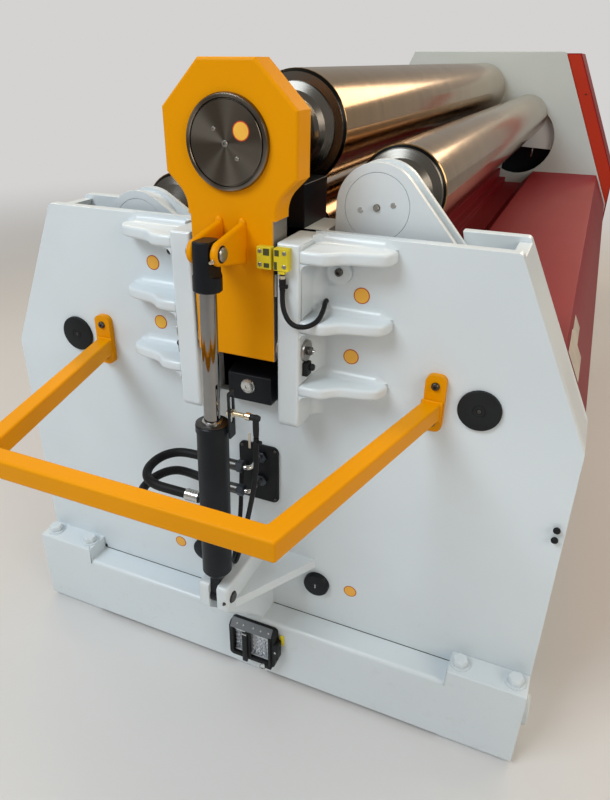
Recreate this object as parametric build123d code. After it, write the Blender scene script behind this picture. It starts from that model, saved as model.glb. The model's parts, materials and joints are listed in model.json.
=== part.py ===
from build123d import *
import math
import os

# Four-roll plate bending machine with a drop end that tilts outwards.
# X runs across the machine, Y runs back from the drop end to the drive end, Z is up from the floor.
# The origin is on the floor, under the middle of the whole machine.

# Lengths along Y, measured from the front plate's outer face
rail_reach = 432.0
housing_gap = 2152.0
drive_depth = 360.0
base_ledge = 56.0
front_y = rail_reach - (rail_reach + housing_gap + drive_depth + base_ledge) / 2

# Front housing
plate_t = 20.0
housing_depth = 125.0
web_t = 18.0
top_z = 983.0
top_half = 424.0
kink_z = 687.0
kink_half = 565.0
base_half = 571.0
plate_corner_r = 8.0
casting_r = 5.0

# Base frame
foot_h = 10.0
foot_inset = 6.0
beam_top = 164.0
beam_edge_r = 9.0
front_beam_depth = 236.0
corner_block_h = 32.0
anchor_edge = 26.0
anchor_apart = 103.0
anchor_outer_x = base_half - anchor_edge
anchor_inner_x = anchor_outer_x - anchor_apart
corner_block_inner = anchor_inner_x - 20.0
anchor_hole_r = 11.0
pad_half = 40.0
boss_r = 30.0
boss_out = 12.0
side_beam_x = 470.0
side_beam_w = 100.0
side_beam_bottom = 24.0

# Guides for the drop end and the bottom roll's block
guide_inner = 76.5
guide_outer = 115.0
guide_front = 71.0
guide_drop = 5.0
guide_top = top_z - guide_drop
guide_foot = 660.0
slot_bottom = 670.0
guide_foot_r = 14.0
rib_reach = 250.0
rib_t = 19.0
rib_out = 38.0
rib_root_out = 62.0
rib_drops = (11.0, 123.0, 238.0)
rib_tops = [top_z - drop for drop in rib_drops]

# Drop end: the yoke that carries the top roll's outer end
pivot_y = -45.0
pivot_z = 800.0
pivot_pin_r = 14.0
pivot_washer_r = 18.0
pivot_washer_t = 5.0
yoke_t = 50.0
yoke_body_half = 71.5
yoke_neck_half = 76.0
yoke_apothem = 110.0
yoke_flat_half = 45.6
yoke_bottom = 780.0
neck_r = 48.0
machined_top = 1008.0
bearing_bore_r = 60.0
cap_r = 67.5
cap_t = 8.0
journal_clear = 0.4
ear_inner = 14.0
ear_outer = 26.0
ear_tip_r = 18.0
ear_root_low = 940.0
ear_root_high = 1004.0

# Cylinder that lowers the drop end: its two pivots, and its sizes along its own axis
rod_pin_y = -147.0
rod_pin_z = 973.0
base_pin_y = -174.0
base_pin_z = 336.0
barrel_r = 26.8
barrel_low = 42.0
barrel_len = 360.0
gland_r = 28.3
gland_len = 14.0
rod_r = 13.5
rod_clear = 0.1
rod_inside = 85.0
rod_end_r = 22.5
rod_end_collar = 22.5
rod_end_low = 57.0
rod_end_top = 18.0
rod_end_runout_r = 8.0
eye_half = 13.0
base_eye_half = 8.0
base_eye_r = 17.0
base_pin_r = 10.0
rod_pin_r = 10.8

# Rolls
roll_front = 173.0
side_roll_front = 181.0
roll_back_gap = 25.0
top_axis_z = 1114.0
top_roll_r = 95.0
bottom_roll_r = 85.0
side_roll_r = 80.0
plate_gap = 17.0
bottom_axis_z = top_axis_z - top_roll_r - plate_gap - bottom_roll_r
top_journal_r = 48.0
top_taper = 0.125
drive_journal_r = 62.0
neck_back = 128.0
bottom_journal_r = 45.0
side_journal_r = 38.0
running_clear = 0.05

# Bearing blocks of the bottom roll
block_front = 38.0
block_depth = 100.0
block_above = 129.0
rear_block_above = 83.0
block_below = 117.0
block_top = bottom_axis_z + block_above
rear_block_top = bottom_axis_z + rear_block_above
block_bottom = bottom_axis_z - block_below
slide_clear = 0.3

# Swinging arms of the side rolls
arm_pivot_x = 156.0
arm_pivot_z = 925.0
arm_orbit = 101.0
arm_front = 45.0
arm_t = 53.0
arm_head_r = 67.0
arm_boss_r = 30.0
arm_lobe_x = 323.0
arm_lobe_z = 920.0
arm_lobe_r = 35.0
arm_stub_r = 20.0
fork_plate_t = 12.0
fork_head_r = 60.0
fork_boss_r = 34.0
link_pin_r = 12.0
right_angle = 67.5
left_angle = 11.0
disc_r = 52.0
disc_t = 10.0
disc_clear = 0.4
opening_x = 172.0
opening_z = 942.0
opening_r = 154.0

# Drive housing
drive_rise = 137.0
drive_top_z = top_axis_z + drive_rise
drive_top_half = 303.0
drive_guide_outer = 108.0
rear_opening_x = 181.0
rear_opening_z = 923.0
rear_opening_r = 135.0
opening_peak_z = 1023.0
opening_peak_r = 46.0
cover_offset = 58.0
cover_top_drop = 6.0
cover_t = 5.0
lift_room = 20.0
drop_room = 38.0
window_top = rear_block_top + lift_room
window_bottom = block_bottom - drop_room
opening_strip = 121.0

# Side covers
side_cover_inset = 4.0
side_cover_top = 800.0
side_cover_inner = 256.0
tray_z = 750.0
tray_outer_x = 214.0
tray_inner_x = 146.0
step_z = 770.0
step_inner_x = 120.0
lip_z = 806.0
lip_x = 104.0
sheet_t = 4.0

# Guard rail round the drop end
rail_w = 30.0
rail_edge_r = 4.0
rail_h = 32.0
rail_top = 734.0
rail_back_outer = 341.0
rail_front_outer = 241.0
bracket_x = 328.0
bracket_w = 34.0
bracket_h = 100.0
bracket_t = 12.0
bracket_mid_z = 730.0

# Small parts on the front
side_cap_x = 400.0
side_cap_z = 729.0
side_cap_r = 35.0
side_cap_t = 6.0
pin_cap_x = 133.0
pin_cap_z = 261.0
pin_cap_r = 27.0
pin_cap_t = 12.0
slot_block_half = 43.0
slot_block_front = 25.0
slot_block_top = 725.0
switch_w = 24.0
switch_h = 34.0
switch_t = 13.0
switch_z = 939.0
switch_wall_x = 77.5
switch_gap = 4.5
cover_plate_x = 5.0
cover_plate_w = 84.0
cover_plate_low = 440.0
cover_plate_h = 128.0
cover_plate_t = 5.0
socket_x = 15.5
socket_z = 105.0
socket_w = 109.0
socket_h = 100.0
socket_t = 22.0
socket_wall = 9.0
socket_floor = 4.0
insert_t = 12.0
lever_w = 12.0
lever_t = 5.0
lug_half = 31.0
lug_slot_half = 8.5
lug_front = 194.0
lug_low = 313.0
lug_high = 367.0
lug_heel_z = 173.0
lug_foot_z = 301.0
lug_foot_back = 29.0
lug_foot_half = 128.0
lug_foot_t = 20.0
lug_edge_r = 6.0

# Sensor on a slotted bracket beside the cylinder's gland
sensor_z = 718.0
sensor_y = -153.0
sensor_r = 4.0
sensor_tip_x = 31.2
sensor_end_x = 68.0
sensor_lock_r = 7.5
sensor_lock_t = 4.0
sensor_nut_r = 6.5
sensor_nut_len = 8.0
bracket_plate_x = 31.5
bracket_plate_t = 3.0
bracket_plate_half = 10.0
bracket_plate_low = 673.0
bracket_plate_high = 757.0
bracket_slot_low = 700.0
bracket_slot_high = 750.0
bracket_slot_w = 9.0
seat_half = 8.0
seat_low = 684.0
seat_high = 695.0
plug_end_x = 86.0
plug_top = 727.0
plug_low = 682.0
plug_half = 8.0
plug_edge_r = 3.0

# Cords and hoses
sensor_cable_d = 9.0
cable_d = 8.0
hose_d = 17.5
port_r = 9.0
elbow_r = 4.5
elbow_bend = 9.0
elbow_x = 12.0
hose_nut_r = 12.0
hose_nut_len = 12.0
lock_nut_r = 13.0
lock_nut_t = 8.0

# Routes in millimetres: x, y behind the front plate's face, z
switch_cable_route = [
    (89.5, -77.5, 939), (89.5, -77.5, 914), (95, -84, 890), (110, -88, 872), (131, -80, 866),
    (143, -60, 868), (142, -32, 871), (142, 0, 871),
]
upper_hose_route = [
    (-14, -55, 545), (-60, -55, 545), (-105, -54, 545), (-140, -58, 545), (-160, -77, 544.5),
    (-167, -105, 544), (-163, -135, 543.5), (-147, -158, 543), (-122, -169, 542.5),
    (-90, -168, 541.5), (-57, -168, 541.5),
]
lower_hose_route = [
    (-14, -55, 491), (-60, -55, 491), (-105, -49, 491), (-150, -44, 491), (-172, -57, 491),
    (-184, -82, 490.5), (-187, -110, 490.5), (-180, -140, 490), (-160, -163, 490),
    (-130, -174, 489.5), (-95, -171, 489), (-57, -171, 489),
]
sensor_cable_route = [
    (77, -153, 682), (77, -153, 655), (75, -153, 615), (68, -152, 570), (57, -150, 518),
    (43, -147, 462), (31, -144, 417), (18, -138, 388), (4, -122, 374), (-6, -98, 375),
    (-12, -66, 391), (-18, -44, 425), (-20.5, -34, 465), (-21, -29, 500), (-21, -27, 520), (-21, -5, 520),
]

nodes = {}


def y_at(value):
    """Place along the machine, from a distance behind the front plate's face."""
    return front_y + value


def block(x0, x1, y0, y1, z0, z1):
    """Box between two corners, with y measured from the front plate's face."""
    solid = Box(x1 - x0, y1 - y0, z1 - z0)
    return Pos((x0 + x1) / 2, y_at((y0 + y1) / 2), (z0 + z1) / 2) * solid


def front_plane(y):
    """Plane that faces the front: its x is X and its y is Z."""
    return Plane(origin=(0, y_at(y), 0), x_dir=(1, 0, 0), z_dir=(0, -1, 0))


def side_plane(x):
    """Plane that faces the side: its x is Y from the front plate's face, and its y is Z."""
    return Plane(origin=(x, front_y, 0), x_dir=(0, 1, 0), z_dir=(1, 0, 0))


def slab(face, y0, y1):
    """Face drawn in X and Z, made solid from y0 to y1."""
    return extrude(front_plane(y0) * face, amount=y1 - y0, dir=(0, 1, 0))


def side_slab(face, x0, x1):
    """Face drawn in Y and Z, made solid from x0 to x1."""
    return extrude(side_plane(x0) * face, amount=x1 - x0, dir=(1, 0, 0))


def polygon(points):
    return make_face(Polyline(*points, close=True))


def rod_y(x, z, r, y0, y1):
    """Round bar along Y."""
    return Pos(x, y_at((y0 + y1) / 2), z) * Rot(90, 0, 0) * Cylinder(r, y1 - y0)


def rod_x(y, z, r, x0, x1):
    """Round bar along X."""
    return Pos((x0 + x1) / 2, y_at(y), z) * Rot(0, 90, 0) * Cylinder(r, x1 - x0)


def turned(profile, x, z):
    """Solid turned about an axis along Y. The profile is a list of (radius, y)."""
    face = make_face(Polyline(*[(r, y) for r, y in profile], close=True))
    solid = revolve(face, axis=Axis.Y, revolution_arc=360)
    return Pos(x, front_y, z) * solid


def mirrored(solid):
    """The same piece on the other side of the machine."""
    return mirror(solid, about=Plane.YZ)


def add(name, *solids):
    nodes[name] = solids[0] if len(solids) == 1 else Compound(children=list(solids))


def housing_face(top_half_width, top, kink_half_width, kink, base_half_width, base):
    """Outline shared by the plates of one housing."""
    points = [
        (-base_half_width, base),
        (base_half_width, base),
        (kink_half_width, kink),
        (top_half_width, top),
        (-top_half_width, top),
        (-kink_half_width, kink),
    ]
    face = polygon(points)
    corners = face.vertices().filter_by(lambda v: v.Y > base + 1)
    return fillet(corners, plate_corner_r)


def beside_guides(face):
    """Keeps what lies outside the guides of an opening on the right, and gives both sides."""
    right = face & (Pos(opening_strip + opening_r, opening_z) * Rectangle(2 * opening_r, 4 * opening_r))
    return [right, mirror(right, about=Plane.YZ)]


def front_openings():
    """Openings in X and Z that let the side rolls' journals swing."""
    return beside_guides(Pos(opening_x, opening_z) * Circle(opening_r))


def rear_openings():
    circle = Pos(rear_opening_x, rear_opening_z) * Circle(rear_opening_r)
    peak = Pos(rear_opening_x, opening_peak_z) * Circle(opening_peak_r)
    return beside_guides(make_hull(circle.edges() + peak.edges()))


def axle_bores():
    """Seats of the arm axles in an outer plate."""
    right = Pos(arm_pivot_x, arm_pivot_z) * Circle(arm_stub_r + running_clear)
    return [right, mirror(right, about=Plane.YZ)]


def front_housing():
    outline = housing_face(top_half, top_z, kink_half, kink_z, base_half, beam_top)
    notch_h = top_z - slot_bottom + 10
    notch = Pos(0, slot_bottom + notch_h / 2) * Rectangle(2 * guide_outer, notch_h)
    add("front_plate", slab(outline - notch - axle_bores(), 0, plate_t))

    inner = outline - notch
    for opening in front_openings():
        inner -= opening
    inner_y = housing_depth - plate_t
    add("front_inner_plate", slab(inner, inner_y, housing_depth))

    slope = math.atan2(kink_half - top_half, top_z - kink_z)
    inset = web_t / math.cos(slope)
    lowered = 8.0
    web = polygon([
        (base_half, beam_top),
        (kink_half, kink_z),
        (top_half + lowered * math.tan(slope), top_z - lowered),
        (top_half + lowered * math.tan(slope) - inset, top_z - lowered),
        (kink_half - inset, kink_z),
        (base_half - web_t, beam_top),
    ])
    right_web = slab(web, plate_t, inner_y)
    add("front_webs", right_web, mirrored(right_web))


def rib_face():
    """Plan of one cast rib: deep at the guide, curved in, with a rounded tip."""
    tip_r = 14.0
    waist_x = guide_outer + 52.0
    edge = Spline(
        (guide_outer - 2, -rib_root_out),
        (waist_x, -rib_out - 4),
        (rib_reach - tip_r, -rib_out),
        tangents=[(1, 0.1), (1, 0)],
    )
    tip = ThreePointArc(
        (rib_reach - tip_r, -rib_out),
        (rib_reach - 0.3 * tip_r, -rib_out + 0.3 * tip_r),
        (rib_reach, -rib_out + tip_r),
    )
    back = Polyline((rib_reach, -rib_out + tip_r), (rib_reach, 0), (guide_outer - 2, 0))
    close_edge = Line((guide_outer - 2, 0), (guide_outer - 2, -rib_root_out))
    return make_face([edge, tip, *back.edges(), close_edge])


def guide_walls():
    wall_face = polygon([
        (-guide_front, guide_foot),
        (0, guide_foot),
        (0, slot_bottom),
        (housing_depth, slot_bottom),
        (housing_depth, guide_top),
        (-guide_front, guide_top),
    ])
    foot_corner = wall_face.vertices().sort_by(Axis.Y)[0:2].sort_by(Axis.X)[0]
    wall_face = fillet(foot_corner, guide_foot_r)
    wall = side_slab(wall_face, guide_inner, guide_outer)
    front_face = wall.faces().sort_by(Axis.Y)[0]
    wall = fillet(front_face.edges(), casting_r)
    wall -= rod_x(pivot_y, pivot_z, pivot_pin_r + running_clear, guide_inner - 1, guide_outer + 1)
    plan = rib_face()
    for top in rib_tops:
        rib = extrude(Plane(origin=(0, front_y, top - rib_t)) * plan, amount=rib_t, dir=(0, 0, 1))
        rim = rib.edges().filter_by(lambda e: e.center().Y < front_y - 1 and abs(e.tangent_at(0.5).Z) < 0.5)
        rim = rim.filter_by(lambda e: e.center().X > guide_outer)
        wall += fillet(rim, casting_r)
    add("guide_wall_right", wall)
    add("guide_wall_left", mirrored(wall))


def slot_fittings():
    face = polygon([
        (-slot_block_front, slot_bottom),
        (block_front - 8, slot_bottom),
        (block_front - 8, slot_block_top + 12),
        (-slot_block_front + 4, slot_block_top),
        (-slot_block_front, slot_block_top - 4),
    ])
    add("slot_block", side_slab(face, -slot_block_half, slot_block_half))
    pin = rod_x(pivot_y, pivot_z, pivot_pin_r, -guide_outer - 4, guide_outer + 4)
    collar_inner = yoke_body_half + slide_clear
    collar_outer = guide_inner - slide_clear
    collar = rod_x(pivot_y, pivot_z, pivot_pin_r + 8, collar_inner, collar_outer)
    washer_outer = guide_outer + slide_clear + pivot_washer_t
    washer = rod_x(pivot_y, pivot_z, pivot_washer_r, guide_outer + slide_clear, washer_outer)
    add("yoke_pivot_pin", pin + collar + mirrored(collar) + washer + mirrored(washer))


def arm_stubs():
    """Axles of the swinging arms, fixed in the outer plates at both ends."""
    front = rod_y(arm_pivot_x, arm_pivot_z, arm_stub_r, -8, arm_front + arm_t + 14)
    front += rod_y(arm_pivot_x, arm_pivot_z, arm_stub_r + 5, plate_t, arm_front - slide_clear)
    rear_out = housing_gap + housing_depth
    rear = rod_y(arm_pivot_x, arm_pivot_z, arm_stub_r, rear_out - arm_front - arm_t - 14, rear_out + 8)
    rear += rod_y(arm_pivot_x, arm_pivot_z, arm_stub_r + 5,
                  rear_out - arm_front + slide_clear, rear_out - plate_t)
    add("arm_axles_front", front, mirrored(front))
    add("arm_axles_rear", rear, mirrored(rear))


def plate_caps():
    cap = rod_y(side_cap_x, side_cap_z, side_cap_r, -side_cap_t, 0)
    add("side_caps", cap, mirrored(cap))
    pin = rod_y(pin_cap_x, pin_cap_z, pin_cap_r, -pin_cap_t, 0)
    add("pin_caps", pin, mirrored(pin))


def base_beam(y0, y1, ledge_y0, ledge_y1):
    """Welded beam across one end, with feet, corner blocks and holes for the anchor bolts."""
    beam = block(-base_half + 1, base_half - 1, y0, y1, foot_h, beam_top)
    outer = base_half - 1
    for side in (-1, 1):
        inner_x, outer_x = sorted((side * corner_block_inner, side * (outer - foot_inset)))
        beam += block(inner_x, outer_x, y0 + foot_inset, y1 - foot_inset, 0, foot_h)
        inner_x, outer_x = sorted((side * corner_block_inner, side * outer))
        beam += block(inner_x, outer_x, ledge_y0, ledge_y1, beam_top, beam_top + corner_block_h)
    beam += block(-pad_half, pad_half, y0 + foot_inset, y1 - foot_inset, 0, foot_h)
    mid = (ledge_y0 + ledge_y1) / 2
    outer_y = y_at(ledge_y0 if ledge_y0 < 0 else ledge_y1)
    top_edge = beam.edges().filter_by(lambda e: abs(e.center().Y - outer_y) < 0.1
                                      and abs(e.center().Z - beam_top) < 0.1 and abs(e.center().X) < 1)
    beam = fillet(top_edge, beam_edge_r)
    for side in (-1, 1):
        for x in (anchor_inner_x, anchor_outer_x):
            hole = Pos(side * x, y_at(mid), 0) * Cylinder(anchor_hole_r, 3 * beam_top)
            beam -= hole
    boss_z = (beam_top + foot_h) / 2
    boss_y = (y0 + 70) if ledge_y0 < 0 else (y1 - 70)
    beam += rod_x(boss_y, boss_z, boss_r, -outer - boss_out, outer + boss_out)
    return beam


def base_frame():
    add("front_base_beam", base_beam(-base_ledge, front_beam_depth - base_ledge, -base_ledge, 0))
    rear_end = housing_gap + drive_depth
    rear_start = housing_gap - base_ledge
    add("rear_base_beam", base_beam(rear_start, rear_end + base_ledge, rear_end, rear_end + base_ledge))
    side = block(side_beam_x - side_beam_w / 2, side_beam_x + side_beam_w / 2,
                 front_beam_depth - base_ledge, rear_start, side_beam_bottom, beam_top)
    add("base_side_beams", side, mirrored(side))


def folded(points, thickness):
    """Section of a folded sheet: the drawn line, and the same line moved to its left."""
    ways = [Vector(x1 - x0, z1 - z0, 0).normalized() for (x0, z0), (x1, z1) in zip(points, points[1:])]
    lefts = [Vector(-way.Y, way.X, 0) for way in ways]
    moved = []
    for (x, z), before, after in zip(points, lefts[:1] + lefts, lefts + lefts[-1:]):
        shift = (before + after) * (thickness / (1 + before.dot(after)))
        moved.append((x + shift.X, z + shift.Y))
    return polygon(points + moved[::-1])


def side_covers():
    """Folded sheet over the side rolls' space, between the two housings, stepped towards the bottom roll."""
    fall = (top_z - side_cover_top) / (top_z - kink_z)
    shoulder = top_half + fall * (kink_half - top_half)
    section = folded([
        (base_half - side_cover_inset, beam_top),
        (kink_half - side_cover_inset, kink_z),
        (shoulder - side_cover_inset, side_cover_top),
        (side_cover_inner, side_cover_top),
        (tray_outer_x, tray_z),
        (tray_inner_x, tray_z),
        (tray_inner_x, step_z),
        (step_inner_x, step_z),
        (step_inner_x, lip_z),
        (lip_x, lip_z),
    ], sheet_t)
    right = slab(section, housing_depth, housing_gap)
    add("side_cover_right", right)
    add("side_cover_left", mirrored(right))


def drive_housing():
    outline = housing_face(drive_top_half, drive_top_z, kink_half, kink_z, base_half, beam_top)
    window_h = window_top - window_bottom
    window = Pos(0, window_bottom + window_h / 2) * Rectangle(2 * guide_inner, window_h)
    shaft = Pos(0, top_axis_z) * Circle(drive_journal_r + running_clear)
    inner = outline - window - shaft
    for opening in rear_openings():
        inner -= opening
    add("drive_plate", slab(inner, housing_gap, housing_gap + plate_t))

    outer_y = housing_gap + housing_depth
    inset = 12.0
    small = housing_face(drive_top_half - inset, drive_top_z - inset, kink_half - inset, kink_z,
                         base_half - inset, beam_top)
    add("drive_outer_plate", slab(small - shaft - axle_bores(), outer_y - plate_t, outer_y))

    guide = block(guide_inner, drive_guide_outer, housing_gap + plate_t, outer_y - plate_t, window_bottom, window_top)
    add("drive_guides", guide, mirrored(guide))

    slope = (kink_half - drive_top_half) / (drive_top_z - kink_z)
    shroud_top = drive_top_z - cover_top_drop
    right_half = drive_top_half + cover_offset
    left_half = drive_top_half
    right_kink = shroud_top - (base_half - right_half) / slope
    left_kink = shroud_top - (base_half - left_half) / slope
    shell = polygon([
        (-base_half, beam_top),
        (base_half, beam_top),
        (base_half, right_kink),
        (right_half, shroud_top),
        (-left_half, shroud_top),
        (-base_half, left_kink),
    ])
    drop = cover_t * math.tan(math.atan(slope) / 2)
    hollow = polygon([
        (-base_half + cover_t, beam_top - 1),
        (base_half - cover_t, beam_top - 1),
        (base_half - cover_t, right_kink - drop),
        (right_half - cover_t * 0.8, shroud_top - cover_t),
        (-left_half + cover_t * 0.8, shroud_top - cover_t),
        (-base_half + cover_t, left_kink - drop),
    ])
    back_y = housing_gap + drive_depth
    add("drive_cover_shroud", slab(shell - hollow, housing_gap + plate_t, back_y - cover_t))
    add("drive_cover_back", slab(shell, back_y - cover_t, back_y))


def guard_rail():
    """Bent rail of rectangular tube on two brackets."""
    front = -rail_reach
    run = rail_reach - bracket_t
    lean = math.atan2(rail_back_outer - rail_front_outer, run)
    inner_shift = rail_w / math.cos(lean)
    corner_in = inner_shift - rail_w * math.tan(lean)
    plan = polygon([
        (-rail_back_outer, -bracket_t),
        (-rail_front_outer, front),
        (rail_front_outer, front),
        (rail_back_outer, -bracket_t),
        (rail_back_outer - inner_shift, -bracket_t),
        (rail_front_outer - corner_in, front + rail_w),
        (-rail_front_outer + corner_in, front + rail_w),
        (-rail_back_outer + inner_shift, -bracket_t),
    ])
    rail = extrude(Plane(origin=(0, front_y, rail_top - rail_h)) * plan, amount=rail_h, dir=(0, 0, 1))
    long_edges = rail.edges().filter_by(lambda e: abs(e.center().Y - y_at(-bracket_t)) > 1)
    rail = fillet(long_edges, rail_edge_r)
    bracket = fillet(Rectangle(bracket_w, bracket_h).vertices(), 12)
    for side in (-1, 1):
        rail += slab(Pos(side * bracket_x, bracket_mid_z) * bracket, -bracket_t, 0)
    add("guard_rail", rail)


def front_fittings():
    face = fillet(Rectangle(cover_plate_w, cover_plate_h).vertices(), 12)
    place = Pos(cover_plate_x, cover_plate_low + cover_plate_h / 2)
    add("hose_cover_plate", slab(place * face, -cover_plate_t, 0))
    face = fillet(Rectangle(socket_w, socket_h).vertices(), 10)
    front = -base_ledge
    place = Pos(socket_x, socket_z)
    shell = slab(place * face, front - socket_t, front)
    hollow = fillet(Rectangle(socket_w - 2 * socket_wall, socket_h - 2 * socket_wall).vertices(), 6)
    shell -= slab(place * hollow, front - socket_t - 1, front - socket_floor)
    lever_mid = Pos(socket_x - 8, socket_z) * Rectangle(lever_w, socket_h)
    shell += slab(lever_mid, front - socket_t - lever_t, front - socket_t)
    add("power_socket", shell)
    core = Rectangle(socket_w - 2 * socket_wall - 4, socket_h - 2 * socket_wall - 4)
    add("socket_insert", slab(place * core, front - socket_floor - insert_t, front - socket_floor))


def hose_elbows():
    """Steel pipes out of the cover plate, each bent across to the start of a hose."""
    pipes = []
    for route in (upper_hose_route, lower_hose_route):
        x, y, z = route[0]
        path = FilletPolyline(
            (elbow_x, y_at(-cover_plate_t), z), (elbow_x, y_at(y), z), (x, y_at(y), z),
            radius=elbow_bend,
        )
        start = Plane(origin=(elbow_x, y_at(-cover_plate_t), z), z_dir=(0, -1, 0))
        pipe = sweep(start * Circle(elbow_r), path=path)
        nut = Pos(y, z) * RegularPolygon(hose_nut_r, 6)
        pipe += side_slab(nut, x, x + hose_nut_len)
        lock = Pos(elbow_x, z) * RegularPolygon(lock_nut_r, 6)
        pipe += slab(lock, -cover_plate_t - lock_nut_t, -cover_plate_t)
        pipes.append(pipe)
    add("hose_elbows", *pipes)


def cylinder_lug():
    side_face = polygon([
        (-lug_front, lug_low),
        (-lug_front, lug_high),
        (0, lug_high),
        (0, beam_top),
        (-base_ledge, beam_top),
        (-base_ledge, lug_heel_z),
    ])
    side_face = fillet(side_face.vertices().sort_by(Axis.X)[0:2], 8)
    lug = side_slab(side_face, -lug_half, lug_half)
    wall_y = y_at(0)
    flanks = lug.edges().filter_by(lambda e: abs(abs(e.center().X) - lug_half) < 0.1
                                   and e.center().Y < wall_y - base_ledge - 1)
    lug = fillet(flanks, lug_edge_r)
    foot = polygon([
        (-lug_half, -lug_front + lug_foot_back),
        (lug_half, -lug_front + lug_foot_back),
        (lug_foot_half, 0),
        (-lug_foot_half, 0),
    ])
    lug += extrude(Plane(origin=(0, front_y, lug_foot_z)) * foot, amount=lug_foot_t, dir=(0, 0, 1))
    slot_back = -base_pin_y - base_eye_r - 40
    lug -= block(-lug_slot_half, lug_slot_half, -lug_front - 1, -slot_back, 0, lug_high + 1)
    lug -= rod_x(base_pin_y, base_pin_z, base_pin_r + running_clear, -lug_half - 1, lug_half + 1)
    add("cylinder_lug", lug)
    add("lug_pin", rod_x(base_pin_y, base_pin_z, base_pin_r, -lug_half - 2, lug_half + 2))


def yoke_head():
    """Outline of the eight-sided head and its curved neck."""
    a, f = yoke_apothem, yoke_flat_half
    z = top_axis_z
    bend = neck_r * (1 - math.cos(math.radians(45)))
    fall = neck_r * math.sin(math.radians(45))
    neck_x = yoke_neck_half + bend
    neck_z = z - f - (a - neck_x)
    mid = math.radians(22.5)
    centre_x = yoke_neck_half + neck_r
    low_z = neck_z - fall
    arc_mid = (centre_x - neck_r * math.cos(mid), low_z + neck_r * math.sin(mid))
    edges = []
    for s in (1, -1):
        edges.append(Polyline((0, z + a), (s * f, z + a), (s * a, z + f), (s * a, z - f), (s * neck_x, neck_z)))
        edges.append(ThreePointArc((s * neck_x, neck_z), (s * arc_mid[0], arc_mid[1]), (s * yoke_neck_half, low_z)))
        edges.append(Polyline((s * yoke_neck_half, low_z), (s * yoke_neck_half, machined_top), (0, machined_top)))
    return make_face([e for group in edges for e in group.edges()])


def journal_radius(y):
    """Radius of the top roll's journal inside the yoke, which tapers so that the yoke can tilt off it."""
    return top_journal_r - 1 - top_taper * (yoke_back() - y)


def yoke_back():
    return -guide_front + yoke_t


def ear(x0, x1):
    tip = Pos(rod_pin_y, rod_pin_z) * Circle(ear_tip_r)
    root = polygon([(-guide_front + 4, ear_root_low), (-guide_front + 4, ear_root_high),
                    (-guide_front, ear_root_high), (-guide_front, ear_root_low)])
    plate = side_slab(make_hull(tip.edges() + root.edges()), x0, x1)
    rim = plate.edges().filter_by(lambda e: e.center().Y < y_at(-guide_front) - 1 and abs(e.tangent_at(0.5).X) < 0.5)
    return fillet(rim, casting_r)


def drop_end():
    back = yoke_back()
    head = slab(yoke_head(), -guide_front, back)
    outline = head.edges().filter_by(lambda e: abs(e.tangent_at(0.5).Y) < 0.5 and e.center().Z > machined_top + 1)
    body = slab(Pos(0, (yoke_bottom + machined_top) / 2) * Rectangle(2 * yoke_body_half, machined_top - yoke_bottom),
                -guide_front, back)
    front_edges = body.faces().sort_by(Axis.Y)[0].edges().filter_by(lambda e: e.center().Z < machined_top - 1)
    yoke = fillet(outline, casting_r) + fillet(front_edges, casting_r / 2)
    yoke += ear(ear_inner, ear_outer)
    yoke += ear(-ear_outer, -ear_inner)
    yoke -= rod_y(0, top_axis_z, bearing_bore_r, -guide_front - 1, back + 1)
    yoke -= rod_x(pivot_y, pivot_z, pivot_pin_r + running_clear, -yoke_neck_half - 1, yoke_neck_half + 1)
    yoke -= rod_x(rod_pin_y, rod_pin_z, rod_pin_r, -ear_outer - 1, ear_outer + 1)
    add("yoke", yoke)
    add("yoke_cap", rod_y(0, top_axis_z, cap_r, -guide_front - cap_t, -guide_front))
    inner_front = journal_radius(-guide_front) + journal_clear
    inner_back = journal_radius(back) + journal_clear
    outer = bearing_bore_r - running_clear
    add("yoke_bearing", turned([
        (inner_front, -guide_front), (outer, -guide_front), (outer, back), (inner_back, back),
    ], 0, top_axis_z))
    stub = rod_x(rod_pin_y, rod_pin_z, rod_pin_r - running_clear, ear_inner, ear_outer + 1.5)
    add("rod_pin_stubs", stub, mirrored(stub))
    wall_half = block(switch_wall_x, switch_wall_x + switch_w, -guide_front - switch_t, -guide_front,
                      switch_z, switch_z + switch_h)
    add("switch_wall_half", wall_half)
    yoke_x = switch_wall_x - switch_gap - switch_w
    yoke_half = block(yoke_x, yoke_x + switch_w, -guide_front - switch_t, -guide_front,
                      switch_z, switch_z + switch_h)
    add("switch_yoke_half", yoke_half)


def on_cylinder(solid):
    """Stands a solid drawn along Z on the cylinder's base pin, leaning along the cylinder."""
    lean = math.degrees(math.atan2(rod_pin_y - base_pin_y, rod_pin_z - base_pin_z))
    return Pos(0, y_at(base_pin_y), base_pin_z) * Rot(-lean, 0, 0) * solid


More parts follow.
